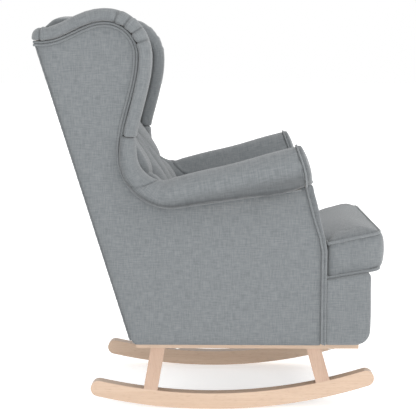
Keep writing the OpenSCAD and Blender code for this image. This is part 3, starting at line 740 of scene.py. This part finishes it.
# %% Roll shaping
WING_X = (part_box("wing_roll_left")[0].x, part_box("wing_roll_left")[1].x)
WING_HIGH = 31 * MM
KNOB_R = 17 * MM
KNOB_LONG = 37 * MM
KNOB_OUT = 7 * MM
PLEAT_DEPTH = 4.5 * MM
PLEAT_WIDTH = 2.4 * MM
PLEAT_PUFF = 1.6 * MM
KNOB_DEPTH = 4 * MM
NOSE_PLEATS = 5
NOSE_TURN = (91, 19)


def edge_run_at(angle, part):
    """How far along the edge this part of it faces an angle, in degrees above straight ahead."""
    wanted = np.array([-math.cos(math.radians(angle)), math.sin(math.radians(angle))])
    return float(EDGE_RUN[np.where(part, EDGE_OUT @ wanted, -1).argmax()])


CREST_RUN = EDGE_RUN[EDGE[:, 1].argmax()]
PLEATS = [edge_run_at(angle, EDGE_RUN < CREST_RUN + 0.2) for angle in np.linspace(*NOSE_TURN, NOSE_PLEATS)]
print("pleats at", [round(p, 3) for p in PLEATS])


def roll_turn(points, out, middle, height):
    """How far round the roll a point lies: 0 faces outwards, 90 degrees is the crown, 180 the inside."""
    return np.degrees(np.arctan2(out - height, (points[:, 0] - middle)))


def from_edge(points, index, run, out):
    """Puts points back at new distances along and out from the edge."""
    base = EDGE[index] + EDGE_AHEAD[index] * (run - EDGE_RUN[index])[:, None]
    return np.column_stack([points[:, 0], base + EDGE_OUT[index] * out[:, None]])


def wing_roll_piece():
    item = soft_copy("wing_roll_left_soft", "wing_roll_left", 5 * MM, 0)
    subdivide(item)
    points = get_points(item)
    run, out, index = along_edge(points)
    middle = sum(WING_X) / 2
    start = run.min()
    near = np.clip(1 - (run - start) / KNOB_R, 0, 1)
    points[:, 0] = middle + (points[:, 0] - middle) * np.sqrt(1 - 0.75 * near**2)
    out = out * np.sqrt(1 - 0.6 * near**2)
    run = run - KNOB_OUT * near
    set_points(item, from_edge(points, index, run, out))
    normals = get_normals(item)
    turn = roll_turn(points, out, middle, 0.3 * WING_HIGH)
    reach = ease((115 - turn) / 70) * (0.55 + 0.45 * ease((turn + 45) / 40))
    press = np.zeros(len(points))
    for place in PLEATS:
        away = run - place - (turn - 30) / 90 * 3 * MM
        press -= PLEAT_DEPTH * bell(away, PLEAT_WIDTH) * reach
        press += PLEAT_PUFF * bell(away - 8 * MM, 6 * MM) * reach
    press -= KNOB_DEPTH * bell(run - start - KNOB_LONG, 5 * MM) * ease((turn - 30) / 60)
    press += 0.5 * MM * np.sin(run * 47) * np.sin(turn / 40 + run * 13)
    # Painted shade: darker in the pleat valleys and where the roll meets the side panel.
    deep = sum(bell(run - place, 2.0 * MM) for place in PLEATS) * reach * 0.8
    under_shade = fade(np.maximum(out, 0), 4 * MM)
    set_points(item, get_points(item) + normals * press[:, None])
    paint_shade(item, 0.55 * deep + 0.45 * under_shade)
    lay_cloth(item, np.column_stack([run, np.radians(turn) * 0.03]))
    return item


both_sides(wing_roll_piece(), "wing_roll")

# %% [markdown]
# The arm roll starts where the wing roll ends, with a seam straight across. It swells towards the
# front and overhangs the side. Where the waist turns into the arm the cloth is mitred, which
# leaves a curved seam that runs from the piping up over the roll.

# %% Arm rolls
MITRE_TURN = 52
MITRE_LEAN = 16
MITRE_DEPTH = 3.0 * MM
BOTTOM_DROP = 7 * MM
FRONT_DROP = 6 * MM
LEAN_BACK = 11 * MM
OVERHANG_X = 0.318
UNDERSIDE_SHADE = 0.75
ARM_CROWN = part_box("arm_facing_left")[1].z


def lean_back(points):
    """Tips the top of the arm's front end back a little, as the stuffing pulls it."""
    points = points.copy()
    near = ease((-points[:, 1] - 0.05) / 0.13)
    points[:, 1] += LEAN_BACK * near * ease((points[:, 2] - ARM_CROWN + 0.075) / 0.09)
    return points


def arm_roll_piece():
    item = soft_copy("arm_roll_left_soft", "arm_roll_left", 6 * MM, 3)
    points = get_points(item)
    run, out, index = along_edge(points)
    over = ease((points[:, 0] - WING_X[0] - 20 * MM) / (8 * MM))
    over = over * (1 - ease((points[:, 0] - OVERHANG_X) / (14 * MM)))
    forward = ease((-0.08 - points[:, 1]) / 0.06)
    out -= (BOTTOM_DROP + FRONT_DROP * forward) * over * (1 - ease(out / (20 * MM)))
    set_points(item, lean_back(from_edge(points, index, run, out)))
    subdivide(item)
    points, normals = get_points(item), get_normals(item)
    run, out, index = along_edge(points)
    middle = sum(WING_X) / 2
    turn = roll_turn(points, out, middle, 0.015)
    mitre = edge_run_at(MITRE_TURN, EDGE_RUN > CREST_RUN + 0.25) + (turn - 20) / 100 * MITRE_LEAN * 4 * MM
    seam = bell(run - mitre, 2.6 * MM) * ease((turn + 35) / 30)
    press = -MITRE_DEPTH * seam
    press += 1.2 * MM * bell(run - mitre - 10 * MM, 8 * MM)
    press += 0.6 * MM * np.sin(run * 38 + turn / 25)
    set_points(item, points + normals * press[:, None])
    # Painted shade: darker where the roll meets the side, on its downward-facing underside, and in the mitre
    # seam.
    under_shade = 0.4 * fade(np.maximum(out, 0), 5 * MM) + UNDERSIDE_SHADE * ease(0.1 - normals[:, 2])
    paint_shade(item, 0.5 * seam + under_shade)
    lay_cloth(item, np.column_stack([run, np.radians(turn) * 0.045]))
    return item


both_sides(arm_roll_piece(), "arm_roll")

# %% [markdown]
# ## Piping
# Piping is a thin cord wrapped in a strip of the same cloth and sewn into a seam. Single piping
# keeps the line of the CAD model: a fine remesh and some smoothing make its square section round.
# The double piping on the sides lies so close together that a remesh would join its two cords, so
# they are curves with a round bevel. A very small waviness keeps cords from looking like wire.

# %% Piping cords
CORD_R = 3.1 * MM
CORD_INSETS = (4.0 * MM, 10.6 * MM)
SCROLL_R = 46 * MM
SCROLL_X = 0.303
DRAWN_IN = 3 * MM


def drawn_in(points):
    """Settles the piping round the arm's scroll closer to the roll and facing that it joins."""
    points = lean_back(points)
    middle = np.array([SCROLL_X, points[points[:, 2] > ARM_CROWN - 0.05, 1].mean(), ARM_CROWN - SCROLL_R])
    away = points - middle
    away[:, 1] = 0
    size = np.linalg.norm(away, axis=1)
    outer = ease((points[:, 2] - middle[2] + 0.02) / 0.03) * ease((size - SCROLL_R) / (2 * MM))
    return points - away / np.maximum(size, 1e-6)[:, None] * (DRAWN_IN * outer)[:, None]


def piping_piece(name, node, grow, reshape):
    item = soft_copy(name, node, 1.5 * MM, 5)
    points, normals = get_points(item), get_normals(item)
    wave = np.sin(points[:, 1] * 190 + points[:, 0] * 120) * np.sin(points[:, 2] * 170)
    points += normals * (grow + wave * 0.15 * MM)[:, None]
    set_points(item, reshape(points))
    lay_cloth(item)
    return item


def side_cords():
    """The double piping: two cords side by side just inside the padded edge, on the side's surface."""
    outer_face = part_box("side_welt_left")[0].x
    data = bpy.data.curves.new("side_cord_lines", "CURVE")
    data.dimensions = "3D"
    data.bevel_depth, data.bevel_resolution, data.use_fill_caps = CORD_R, 3, True
    for inset in CORD_INSETS:
        line = EDGE[:-6:2] - EDGE_OUT[:-6:2] * inset
        line = np.vstack([line[0] - EDGE_AHEAD[0] * CORD_R, line])
        x = outer_face + CORD_R + 0.4 * MM * np.sin(np.arange(len(line)) * 0.9)
        cord = data.splines.new("POLY")
        cord.points.add(len(line) - 1)
        cord.points.foreach_set("co", np.column_stack([x, line, np.ones(len(line))]).ravel())
    draft = add_to_scene("side_cord_lines", data)
    mesh = bpy.data.meshes.new_from_object(draft.evaluated_get(bpy.context.evaluated_depsgraph_get()))
    bpy.data.objects.remove(draft)
    mesh.name = "side_welt_left_soft"
    item = add_to_scene(mesh.name, mesh)
    lay_cloth(item)
    return item


both_sides(side_cords(), "side_welt", PIPING)
facing_cord = piping_piece("facing_welt_left_soft", "facing_welt_left", 0, drawn_in)
both_sides(facing_cord, "facing_welt", PIPING)

# %% [markdown]
# ## Arm facings
# The front of each arm is a board covered with wadding and cloth, set into the piping. It is
# fullest where it is widest, on the scroll of the arm, and nearly flat in its narrow lower part.
# A little extra wadding fills the neck under the scroll, so that the front line runs on smoothly.

# %% Facing pieces
FACING_RISE = 7 * MM
NECK_RISE = 10 * MM
NECK_DOWN = 90 * MM
FACING_REACH = 16 * MM


def facing_piece():
    item = soft_copy("arm_facing_left_soft", "arm_facing_left", 3 * MM, 5)
    bm = cad_copy("arm_facing_left")
    loops = rim_loops(bm, [f for f in bm.faces if f.normal.y < -0.2])
    bm.free()
    tree = search_tree(spaced([(p.x, 0, p.z) for p in max(loops, key=len)], 3 * MM, closed=True))
    points, normals = get_points(item), get_normals(item)
    inside = np.array([tree.find((p[0], 0, p[2]))[2] for p in points])
    show = ease((-normals[:, 1] - 0.15) / 0.4)
    clear = 0.4 + 0.6 * ease((points[:, 2] - CUSHION_TOP) / 0.08)
    lift = FACING_RISE * (1 - np.exp(-((inside / FACING_REACH) ** 1.3))) * show * clear
    level = points[:, 2] - ARM_CROWN + NECK_DOWN
    neck = bell(level, 18 * MM) * (1 - 0.7 * ease((level + 2 * MM) / (10 * MM)))
    neck *= show * (1 - fade(inside, 5 * MM))
    points += normals * lift[:, None]
    points[:, 1] -= NECK_RISE * neck
    set_points(item, lean_back(points))
    # Painted shade: darker along the facing's outline, next to the piping.
    paint_shade(item, 0.4 * fade(inside, 4 * MM))
    lay_cloth(item)
    return item


both_sides(facing_piece(), "arm_facing")

# %% [markdown]
# ## The tufted back
# The inner back is one thick pad. Eight buttons are pulled into it with twine, in rows of three,
# two and three, and the cloth between them is laid in folds that make diamonds. The surface is
# a fine net laid over the CAD pad's front. Its height is the sum of four things: full diamonds
# between the folds, narrow folds along the straight lines from button to button, round wells at
# the buttons, and a roll-over at the sides where the pad meets the wings.

# %% Front line of the pad
PAD_LOW, PAD_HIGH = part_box("back_pad")
PAD_HALF = PAD_HIGH.x


def read_pad_front():
    """The pad's front in a place without wells: heights and the depths that go with them."""
    bm = cad_copy("back_pad")
    tree = BVHTree.FromBMesh(bm)
    heights = np.linspace(PAD_LOW.z + 1 * MM, PAD_HIGH.z - 1 * MM, 120)
    fronts = [tree.ray_cast(Vector((0.2, -1, z)), Vector((0, 1, 0)))[0].y for z in heights]
    bm.free()
    return heights, rounded(np.array(fronts)[:, None], 10)[:, 0]


PAD_Z, PAD_Y = read_pad_front()


def button_places():
    """The middle of each button of the CAD model, from its loose parts."""
    bm = cad_copy("back_buttons")
    seen, places = set(), []
    for first in bm.verts:
        if first in seen:
            continue
        seen.add(first)
        part = [first]
        for vert in part:
            for other in (edge.other_vert(vert) for edge in vert.link_edges):
                if other not in seen:
                    seen.add(other)
                    part.append(other)
        places.append(sum((vert.co for vert in part), Vector()) / len(part))
    bm.free()
    return sorted(places, key=lambda p: (round(p.z, 2), p.x))


BUTTONS = button_places()
print(len(BUTTONS), "buttons; first at", [round(c, 3) for c in BUTTONS[0]])

# %% [markdown]
# A fold runs straight from a button to each neighbour in the next rows, and from the outermost
# buttons to the edge of the pad. Two distances, to the nearest fold and to the nearest button,
# are all that the height needs.

# %% Folds between the buttons
FOLD_SPAN = 0.145


def fold_lines():
    """The folds as pairs of points (x, z): between neighbouring buttons and out to the pad's edges."""
    spots = [(p.x, p.z) for p in BUTTONS]
    lines = []
    for i, a in enumerate(spots):
        for b in spots[i + 1:]:
            if abs(a[1] - b[1]) > 0.05 and math.dist(a, b) < FOLD_SPAN:
                lines.append((a, b))
    low, high = min(z for _, z in spots), max(z for _, z in spots)
    for x, z in spots:
        if abs(z - high) < 0.02:
            lines.append(((x, z), (x * 1.08, PAD_HIGH.z)))
        if abs(z - low) < 0.02:
            lines.append(((x, z), (x * 1.05, PAD_LOW.z + 0.12)))
        if abs(x) > 0.1:
            lines.append(((x, z), (math.copysign(PAD_HALF, x), z + (0.03 if z > 0.7 else 0.012))))
    return lines


FOLDS = fold_lines()


def away_from_folds(x, z):
    """Distance from each point to the nearest fold."""
    best = np.full(len(x), 9.0)
    for (ax, az), (bx, bz) in FOLDS:
        dx, dz = bx - ax, bz - az
        share = np.clip(((x - ax) * dx + (z - az) * dz) / (dx * dx + dz * dz), 0, 1)
        best = np.minimum(best, np.hypot(x - ax - share * dx, z - az - share * dz))
    return best


def away_from_buttons(x, z):
    return np.min([np.hypot(x - p.x, z - p.z) for p in BUTTONS], axis=0)


# %% [markdown]
# The net is a plain grid moved to the pad's front line and lifted by the height, square to the
# slope. Extruding it backwards closes the pad. Below the cushion's top the folds die out, since
# nobody sees or feels them there.

# %% Back pad
PAD_STEP = 3.5 * MM
DIAMOND_RISE = 9 * MM
FOLD_DEPTH = 6.5 * MM
WELL_DEPTH = 17 * MM
PAD_SKIN = 16 * MM
CUSHION_REAR_TOP = 0.43


# Painted shade: darker in the folds and around the button wells.
def pad_fold_shade(x, z):
    deep = fade(away_from_folds(x, z), 3.5 * MM) * ease((z - CUSHION_REAR_TOP) / 0.05)
    return 0.55 * deep + 0.35 * fade(away_from_buttons(x, z), 9 * MM)


def pad_height(x, z):
    """How far the cloth stands out from the pad's front line."""
    fold, button = away_from_folds(x, z), away_from_buttons(x, z)
    free = ease((z - CUSHION_REAR_TOP) / 0.05)
    height = DIAMOND_RISE * (1 - np.exp(-((fold / (26 * MM)) ** 1.25))) * free
    height -= FOLD_DEPTH * fade(fold, 5.5 * MM) * free
    height -= WELL_DEPTH * np.exp(-((button / (17 * MM)) ** 1.4))
    height -= 15 * MM * roll_over(x, PAD_HALF, 16 * MM)
    return height + 0.5 * MM * np.sin(x * 61 + z * 23) * np.sin(z * 47) * free


def back_piece():
    wide, tall = 2 * PAD_HALF, PAD_HIGH.z - PAD_LOW.z
    bm = bmesh.new()
    bmesh.ops.create_grid(bm, x_segments=int(wide / PAD_STEP), y_segments=int(tall / PAD_STEP), size=0.5)
    grid = np.array([v.co for v in bm.verts])
    x, z = grid[:, 0] * wide, PAD_LOW.z + (grid[:, 1] + 0.5) * tall
    front = np.interp(z, PAD_Z, PAD_Y)
    slope = np.interp(z, PAD_Z, np.gradient(PAD_Y, PAD_Z))
    lean = np.hypot(1, slope)
    height = pad_height(x, z)
    y, high = front - height / lean, z + height * slope / lean
    for v, px, py, pz in zip(bm.verts, x, y, high):
        v.co = (px, py, pz)
    bmesh.ops.recalc_face_normals(bm, faces=bm.faces)
    if sum(f.normal.y for f in bm.faces) > 0:
        bmesh.ops.reverse_faces(bm, faces=bm.faces)
    grown = bmesh.ops.extrude_face_region(bm, geom=bm.faces[:], use_keep_orig=True)
    back = [g for g in grown["geom"] if isinstance(g, bmesh.types.BMVert)]
    for v in back:
        z_here = min(max(v.co.z, PAD_LOW.z), PAD_HIGH.z)
        v.co.y = float(np.interp(z_here, PAD_Z, PAD_Y)) + WELL_DEPTH + PAD_SKIN
    bmesh.ops.recalc_face_normals(bm, faces=bm.faces)
    item = make_object("back_pad_soft", bm)
    points = get_points(item)
    paint_shade(item, pad_fold_shade(points[:, 0], points[:, 2]))
    lay_cloth(item)
    return item


finish_piece(back_piece(), ["back_pad"], CLOTH)

# %% [markdown]
# Each button is a domed shell covered with the same cloth. Its edge is tucked under, so it is
# rounder at the rim than a flat disc and its top is slightly crowned.

# %% Covered buttons
BUTTON_R = 12 * MM
BUTTON_T = 5 * MM
BUTTON_LIFT = 3.5 * MM


def buttons_piece():
    bm = bmesh.new()
    for place in BUTTONS:
        slope = float(np.interp(place.z, PAD_Z, np.gradient(PAD_Y, PAD_Z)))
        out = Vector((0, -1, slope)).normalized()
        turn = out.to_track_quat("Z", "X").to_matrix().to_4x4()
        turn.translation = place + out * BUTTON_LIFT
        made = bmesh.ops.create_uvsphere(bm, u_segments=32, v_segments=18, radius=1)
        bmesh.ops.scale(bm, vec=(BUTTON_R, BUTTON_R, BUTTON_T), verts=made["verts"])
        bmesh.ops.transform(bm, matrix=turn, verts=made["verts"])
    item = make_object("back_buttons_soft", bm)
    lay_cloth(item)
    return item


finish_piece(buttons_piece(), ["back_buttons"], PIPING)

# %% [markdown]
# ## The crest
# A roll of wadding closes the top of the back between the wings. The folds from the top row of
# buttons run up to it and pinch it a little.

# %% Crest roll
CREST_DIP = 4 * MM
CREST_SLOPE = 24 * MM


def crest_piece():
    item = soft_copy("crest_roll_soft", "crest_roll", 5 * MM, 3)
    subdivide(item)
    points, normals = get_points(item), get_normals(item)
    lift = 1.5 * MM * (1 - (points[:, 0] / PAD_HALF) ** 2)
    high = ease((points[:, 2] - PAD_HIGH.z - 8 * MM) / (40 * MM))
    points[:, 1] -= CREST_SLOPE * high * ease((points[:, 1] - 0.33) / 0.07)
    ahead = ease((0.1 - normals[:, 1]) / 0.6)
    for place in BUTTONS[-3:]:
        lift -= CREST_DIP * fade(np.abs(points[:, 0] - place.x * 1.08), 9 * MM) * ahead
    lift -= 6 * MM * roll_over(points[:, 0], PAD_HALF, 12 * MM)
    set_points(item, points + normals * lift[:, None])
    lay_cloth(item)
    return item


finish_piece(crest_piece(), ["crest_roll"], CLOTH)

# %% [markdown]
# ## The seat cushion
# The cushion is a T-shaped box cushion: a foam block in a cover with a zip at the rear and piping
# round its top and bottom. The cover is simulated. It starts as the flat space between the two
# pipings, its seams are pinned, and air pressure from inside crowns the top and fills out the
# border. The foam and the zip inside stay as the CAD model has them.

# %% Cushion start shape
CUSHION_VOXEL = 6 * MM
START_CROWN = 18 * MM
START_BULGE = 14 * MM
COVER_OUT = 2.8 * MM
WEDGE = 16 * MM


def seam_planes():
    """The cushion's upward direction, its two seam levels, and the outline of the upper seam."""
    bm = cad_copy("cushion_welts")
    up = max((f for f in bm.faces if f.normal.z > 0.7), key=lambda f: f.calc_area()).normal.copy()
    heights = [v.co.dot(up) / up.z for v in bm.verts]
    level = [f for f in bm.faces if f.normal.dot(up) > 0.999]
    top = [f for f in level if f.calc_center_median().dot(up) / up.z > max(heights) - MM]
    inner = min(rim_loops(bm, top), key=lambda loop: max(p.x for p in loop))
    bm.free()
    return up, min(heights), max(heights), inner


SEAT_UP, SEAM_LOW, SEAM_HIGH, SEAM_LOOP = seam_planes()
SEAM = spaced([(p.x, p.y) for p in SEAM_LOOP], 3 * MM, closed=True)
SEAM_FRONT, SEAM_REAR = SEAM[:, 1].min(), SEAM[:, 1].max()
EAR_BACK = SEAM[np.abs(SEAM[:, 0]) > 0.236, 1].max() + 1 * MM
EAR_SIDE = SEAM[:, 0].max()
SEAM_TREE = search_tree(SEAM)
print("seat tilt", round(math.degrees(SEAT_UP.angle(Vector((0, 0, 1)))), 2), "degrees")


def seam_distance(points):
    return np.array([SEAM_TREE.find((p[0], p[1], 0))[2] for p in points])


def seat_level(points):
    """Height above the tilted seat plane, measured straight up."""
    return points @ np.array(SEAT_UP) / SEAT_UP.z


def plumped(points):
    """Thickens the cushion towards its front, where its filling has been pushed."""
    points = points.copy()
    share = np.clip((seat_level(points) - SEAM_LOW - 6 * MM) / (SEAM_HIGH - SEAM_LOW - 12 * MM), 0, 1)
    points[:, 2] += WEDGE * share * np.clip((-0.05 - points[:, 1]) / 0.34, 0, 1)
    return points


def cushion_start():
    item = make_object("cushion_cover_soft", cad_copy("cushion_foam"))
    points = get_points(item)
    level = seat_level(points)
    points[:, 2] += np.clip(level, SEAM_LOW + 1 * MM, SEAM_HIGH - 3 * MM) - level
    points[:, 1] = np.maximum(points[:, 1], SEAM_FRONT + 1 * MM)
    set_points(item, points)
    remesh(item, CUSHION_VOXEL)
    points = get_points(item) + get_normals(item) * COVER_OUT
    share = np.clip((seat_level(points) - SEAM_LOW) / (SEAM_HIGH - SEAM_LOW), 0, 1)
    crown = START_CROWN * (1 - np.exp(-((seam_distance(points) / (22 * MM)) ** 1.5)))
    corner = np.clip((EAR_SIDE - np.abs(points[:, 0])) / (42 * MM), 0, 1)
    bulge = START_BULGE * np.sin(math.pi * share) ** 0.4 * np.sin(corner * math.pi / 2) ** 0.7
    at_front = points[:, 1] < SEAM_FRONT + 7 * MM
    points[:, 1] -= np.where(at_front, bulge, 0)
    points[:, 2] += np.where(share > 0.9, crown, 0)
    level = seat_level(points)
    points[:, 2] += np.maximum(level, SEAM_LOW + 0.5 * MM) - level
    set_points(item, points)
    return item


# %% [markdown]
# The filling is done by the Cloth modifier with air pressure and without gravity. It runs for 20
# frames, its last shape is kept, and no point may move further than a set limit.

# %% Cloth simulation
FILL_PRESSURE = 4.0
FILL_FRAMES = 20


def inflate(item, pins, cap):
    """Fills a closed cover like an air bag; pinned points stay, and no point moves further than cap."""
    group = item.vertex_groups.new(name="seams")
    group.add([int(i) for i in np.nonzero(pins)[0]], 1.0, "REPLACE")
    step = item.modifiers.new("filling", "CLOTH")
    cloth = step.settings
    cloth.quality = 6
    cloth.mass = 0.3
    cloth.tension_stiffness = cloth.compression_stiffness = 25
    cloth.shear_stiffness = 8
    cloth.bending_stiffness = 1.5
    cloth.vertex_group_mass = "seams"
    cloth.use_pressure = True
    cloth.uniform_pressure_force = FILL_PRESSURE
    cloth.effector_weights.gravity = 0
    step.point_cache.frame_end = FILL_FRAMES
    before = get_points(item)
    for frame_number in range(1, FILL_FRAMES + 1):
        bpy.context.scene.frame_set(frame_number)
    apply_modifiers(item)
    bpy.context.scene.frame_set(1)
    move = get_points(item) - before
    length = np.linalg.norm(move, axis=1)
    short = np.minimum(1, cap / np.maximum(length, 1e-9))
    set_points(item, before + move * short[:, None])
    item.vertex_groups.clear()
    print(item.name, "moved up to", round(float(min(length.max(), cap)) * 1000, 1), "mm")


# %% [markdown]
# After the simulation the cloth gets its small gathers at the seams. It is then kept off the arm
# linings, the backs of the ears are kept square, and the two rear corners are pushed out over the
# foam's corners.

# %% Cushion cover
CROWN_MAX = 26 * MM
GATHER = 0.7 * MM
REAR_PUSH = 7 * MM
BETWEEN_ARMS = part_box("arm_pad_left")[0].x - 1.5 * MM


def cushion_piece():
    item = cushion_start()
    points = get_points(item)
    level = seat_level(points)
    at_seams = (level > SEAM_HIGH - 8 * MM) | (level < SEAM_LOW + 6 * MM)
    pins = at_seams & (seam_distance(points) < 5.5 * MM)
    inflate(item, pins, CROWN_MAX)
    subdivide(item)
    points, normals = get_points(item), get_normals(item)
    ripple = np.sin(points[:, 0] * 260) * np.sin(points[:, 1] * 240 + points[:, 0] * 30)
    broad = np.sin(points[:, 0] * 33) * np.sin(points[:, 1] * 29)
    move = GATHER * ripple * fade(seam_distance(points), 16 * MM) + 0.5 * MM * broad
    points += normals * move[:, None]
    from_corner = np.hypot(np.abs(points[:, 0]) - BETWEEN_ARMS, points[:, 1] - SEAM_REAR)
    push = REAR_PUSH * np.clip(1 - from_corner / (18 * MM), 0, 1)
    points[:, 0] += np.sign(points[:, 0]) * push
    points[:, 1] += push
    between_arms = points[:, 1] > EAR_BACK + 2 * MM
    inside = np.clip(points[:, 0], -BETWEEN_ARMS, BETWEEN_ARMS)
    points[:, 0] = np.where(between_arms, inside, points[:, 0])
    ears = (np.abs(points[:, 0]) > BETWEEN_ARMS + 1 * MM) & (points[:, 1] > EAR_BACK - 20 * MM)
    points[:, 1] = np.where(ears, np.minimum(points[:, 1], EAR_BACK), points[:, 1])
    points[:, 1] = np.minimum(points[:, 1], SEAM_REAR + 2 * MM)
    level = seat_level(points)
    points[:, 2] += np.maximum(level, SEAM_LOW + 0.5 * MM) - level
    # Painted shade: darker along the upper and lower seams beside the piping.
    seam_gap = np.minimum(np.abs(level - SEAM_HIGH + 3 * MM), np.abs(level - SEAM_LOW - 3 * MM))
    near_seam = fade(np.hypot(seam_gap, seam_distance(points)), 6 * MM)
    paint_shade(item, 0.5 * near_seam)
    set_points(item, plumped(points))
    lay_cloth(item)
    return item


finish_piece(cushion_piece(), ["cushion_cover"], CLOTH, body="seat_cushion")
cushion_piping = piping_piece("cushion_welts_soft", "cushion_welts", 1.1 * MM, plumped)
finish_piece(cushion_piping, ["cushion_welts"], PIPING, body="seat_cushion")

# %% [markdown]
# ## Seat deck, front border and dust cover
# Under the cushion lies the deck, a felt pad over the springs with a plain cotton cover. The front
# border is padded like the arms. Below the seat a thin black cloth is stapled to the rails to keep
# dust out. It is stretched, so it only hangs a little in the middle.

# %% Front border
BORDER_RISE = 5 * MM


def border_piece():
    item = soft_copy("front_border_soft", "front_border", 5 * MM, 6)
    points, normals = get_points(item), get_normals(item)
    low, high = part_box("front_border")
    edge = np.minimum(points[:, 2] - low.z, high.z - points[:, 2])
    inside = np.minimum(edge, np.maximum(high.x - np.abs(points[:, 0]), 0))
    front = ease((-normals[:, 1] - 0.2) / 0.5)
    lift = BORDER_RISE * (1 - fade(inside, 24 * MM)) * front
    lift += 0.5 * MM * np.sin(points[:, 0] * 31) * np.sin(points[:, 2] * 43) * front
    set_points(item, points + normals * lift[:, None])
    lay_cloth(item)
    return item


finish_piece(border_piece(), ["front_border"], CLOTH)

# %% [markdown]
# The deck is soft felt in cotton. The springs below it show as faint dimples.

# %% Deck pad
def deck_piece():
    item = soft_copy("deck_pad_soft", "deck_pad", 6 * MM, 6)
    points, normals = get_points(item), get_normals(item)
    dimple = np.sin(points[:, 0] * 40) * np.sin(points[:, 1] * 38)
    set_points(item, points - normals * (0.6 * MM + 0.5 * MM * dimple)[:, None])
    lay_cloth(item)
    return item


finish_piece(deck_piece(), ["deck_pad"], DECK)

# %% [markdown]
# The dust cover is one stretched sheet. It starts as a grid, sags in the middle between the
# staples, and is made a real cloth's thickness at the end.

# %% Dust cover
DUST_SAG = 3 * MM


def dust_piece():
    low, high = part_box("dust_cover")
    wide, deep = high.x - low.x, high.y - low.y
    bm = bmesh.new()
    bmesh.ops.create_grid(bm, x_segments=48, y_segments=52, size=0.5)
    for v in bm.verts:
        across, along = v.co.x * 2, v.co.y * 2
        sag = DUST_SAG * max(0, 1 - (across / 0.62) ** 2) * max(0, 1 - along**2)
        pull = 0.35 * MM * math.sin(v.co.x * 95) * abs(along) ** 6
        v.co = (v.co.x * wide, (low.y + high.y) / 2 + v.co.y * deep, high.z - 0.4 * MM - sag + pull * 0.5)
    bmesh.ops.solidify(bm, geom=bm.faces[:], thickness=0.5 * MM)
    bmesh.ops.recalc_face_normals(bm, faces=bm.faces)
    item = make_object("dust_cover_soft", bm)
    lay_cloth(item)
    finish_piece(item, ["dust_cover"], BLACK)


dust_piece()

# %% [markdown]
# ## The stage
# The chair stands on a very wide pale floor in even white light, as in a plain white studio.
# The floor is a lit white table, which keeps shadows faint, and two big soft lamps lift the show
# side a little, so that folds and rolls still read.

# %% Floor and light
FLOOR_R = 60.0
FLOOR_GLOW = 0.45
LAMP_AIM = (0, 0, 0.5)
LAMPS = (("key", (-2.0, -2.4, 3.6), 1.6, 40), ("front_fill", (-4.6, -0.6, 1.5), 2.6, 110))


def make_floor():
    bm = bmesh.new()
    bmesh.ops.create_circle(bm, cap_ends=True, segments=96, radius=FLOOR_R)
    floor = make_object("floor", bm)
    material, tree, shader = start_material("white_floor")
    cloud = stretched_noise(tree, object_place(tree), (0.7, 0.7, 0.7))
    color = mix_colors(tree, cloud, (0.93, 0.93, 0.93), (0.95, 0.95, 0.95))
    white = {"Emission Color": (1, 1, 1), "Emission Strength": FLOOR_GLOW}
    set_inputs(tree, shader, {"Base Color": color, "Roughness": 0.9, **white})
    floor.data.materials.append(material)


def add_lamp(name, place, size, power):
    data = bpy.data.lights.new(name, "AREA")
    data.shape = "DISK"
    data.size, data.energy = size, power
    lamp = add_to_scene(name, data)
    lamp.location = place
    lamp.rotation_euler = (Vector(LAMP_AIM) - Vector(place)).to_track_quat("-Z", "Y").to_euler()


def light_scene():
    scene = bpy.context.scene
    scene.view_settings.view_transform = "Standard"
    scene.world = bpy.data.worlds.new("white_room")
    scene.world.use_nodes = True
    background = scene.world.node_tree.nodes["Background"]
    background.inputs["Color"].default_value = (1, 1, 1, 1)
    background.inputs["Strength"].default_value = 1.0
    for name, place, size, power in LAMPS:
        add_lamp(name, place, size, power)


make_floor()
light_scene()
print("floor and two lamps made")
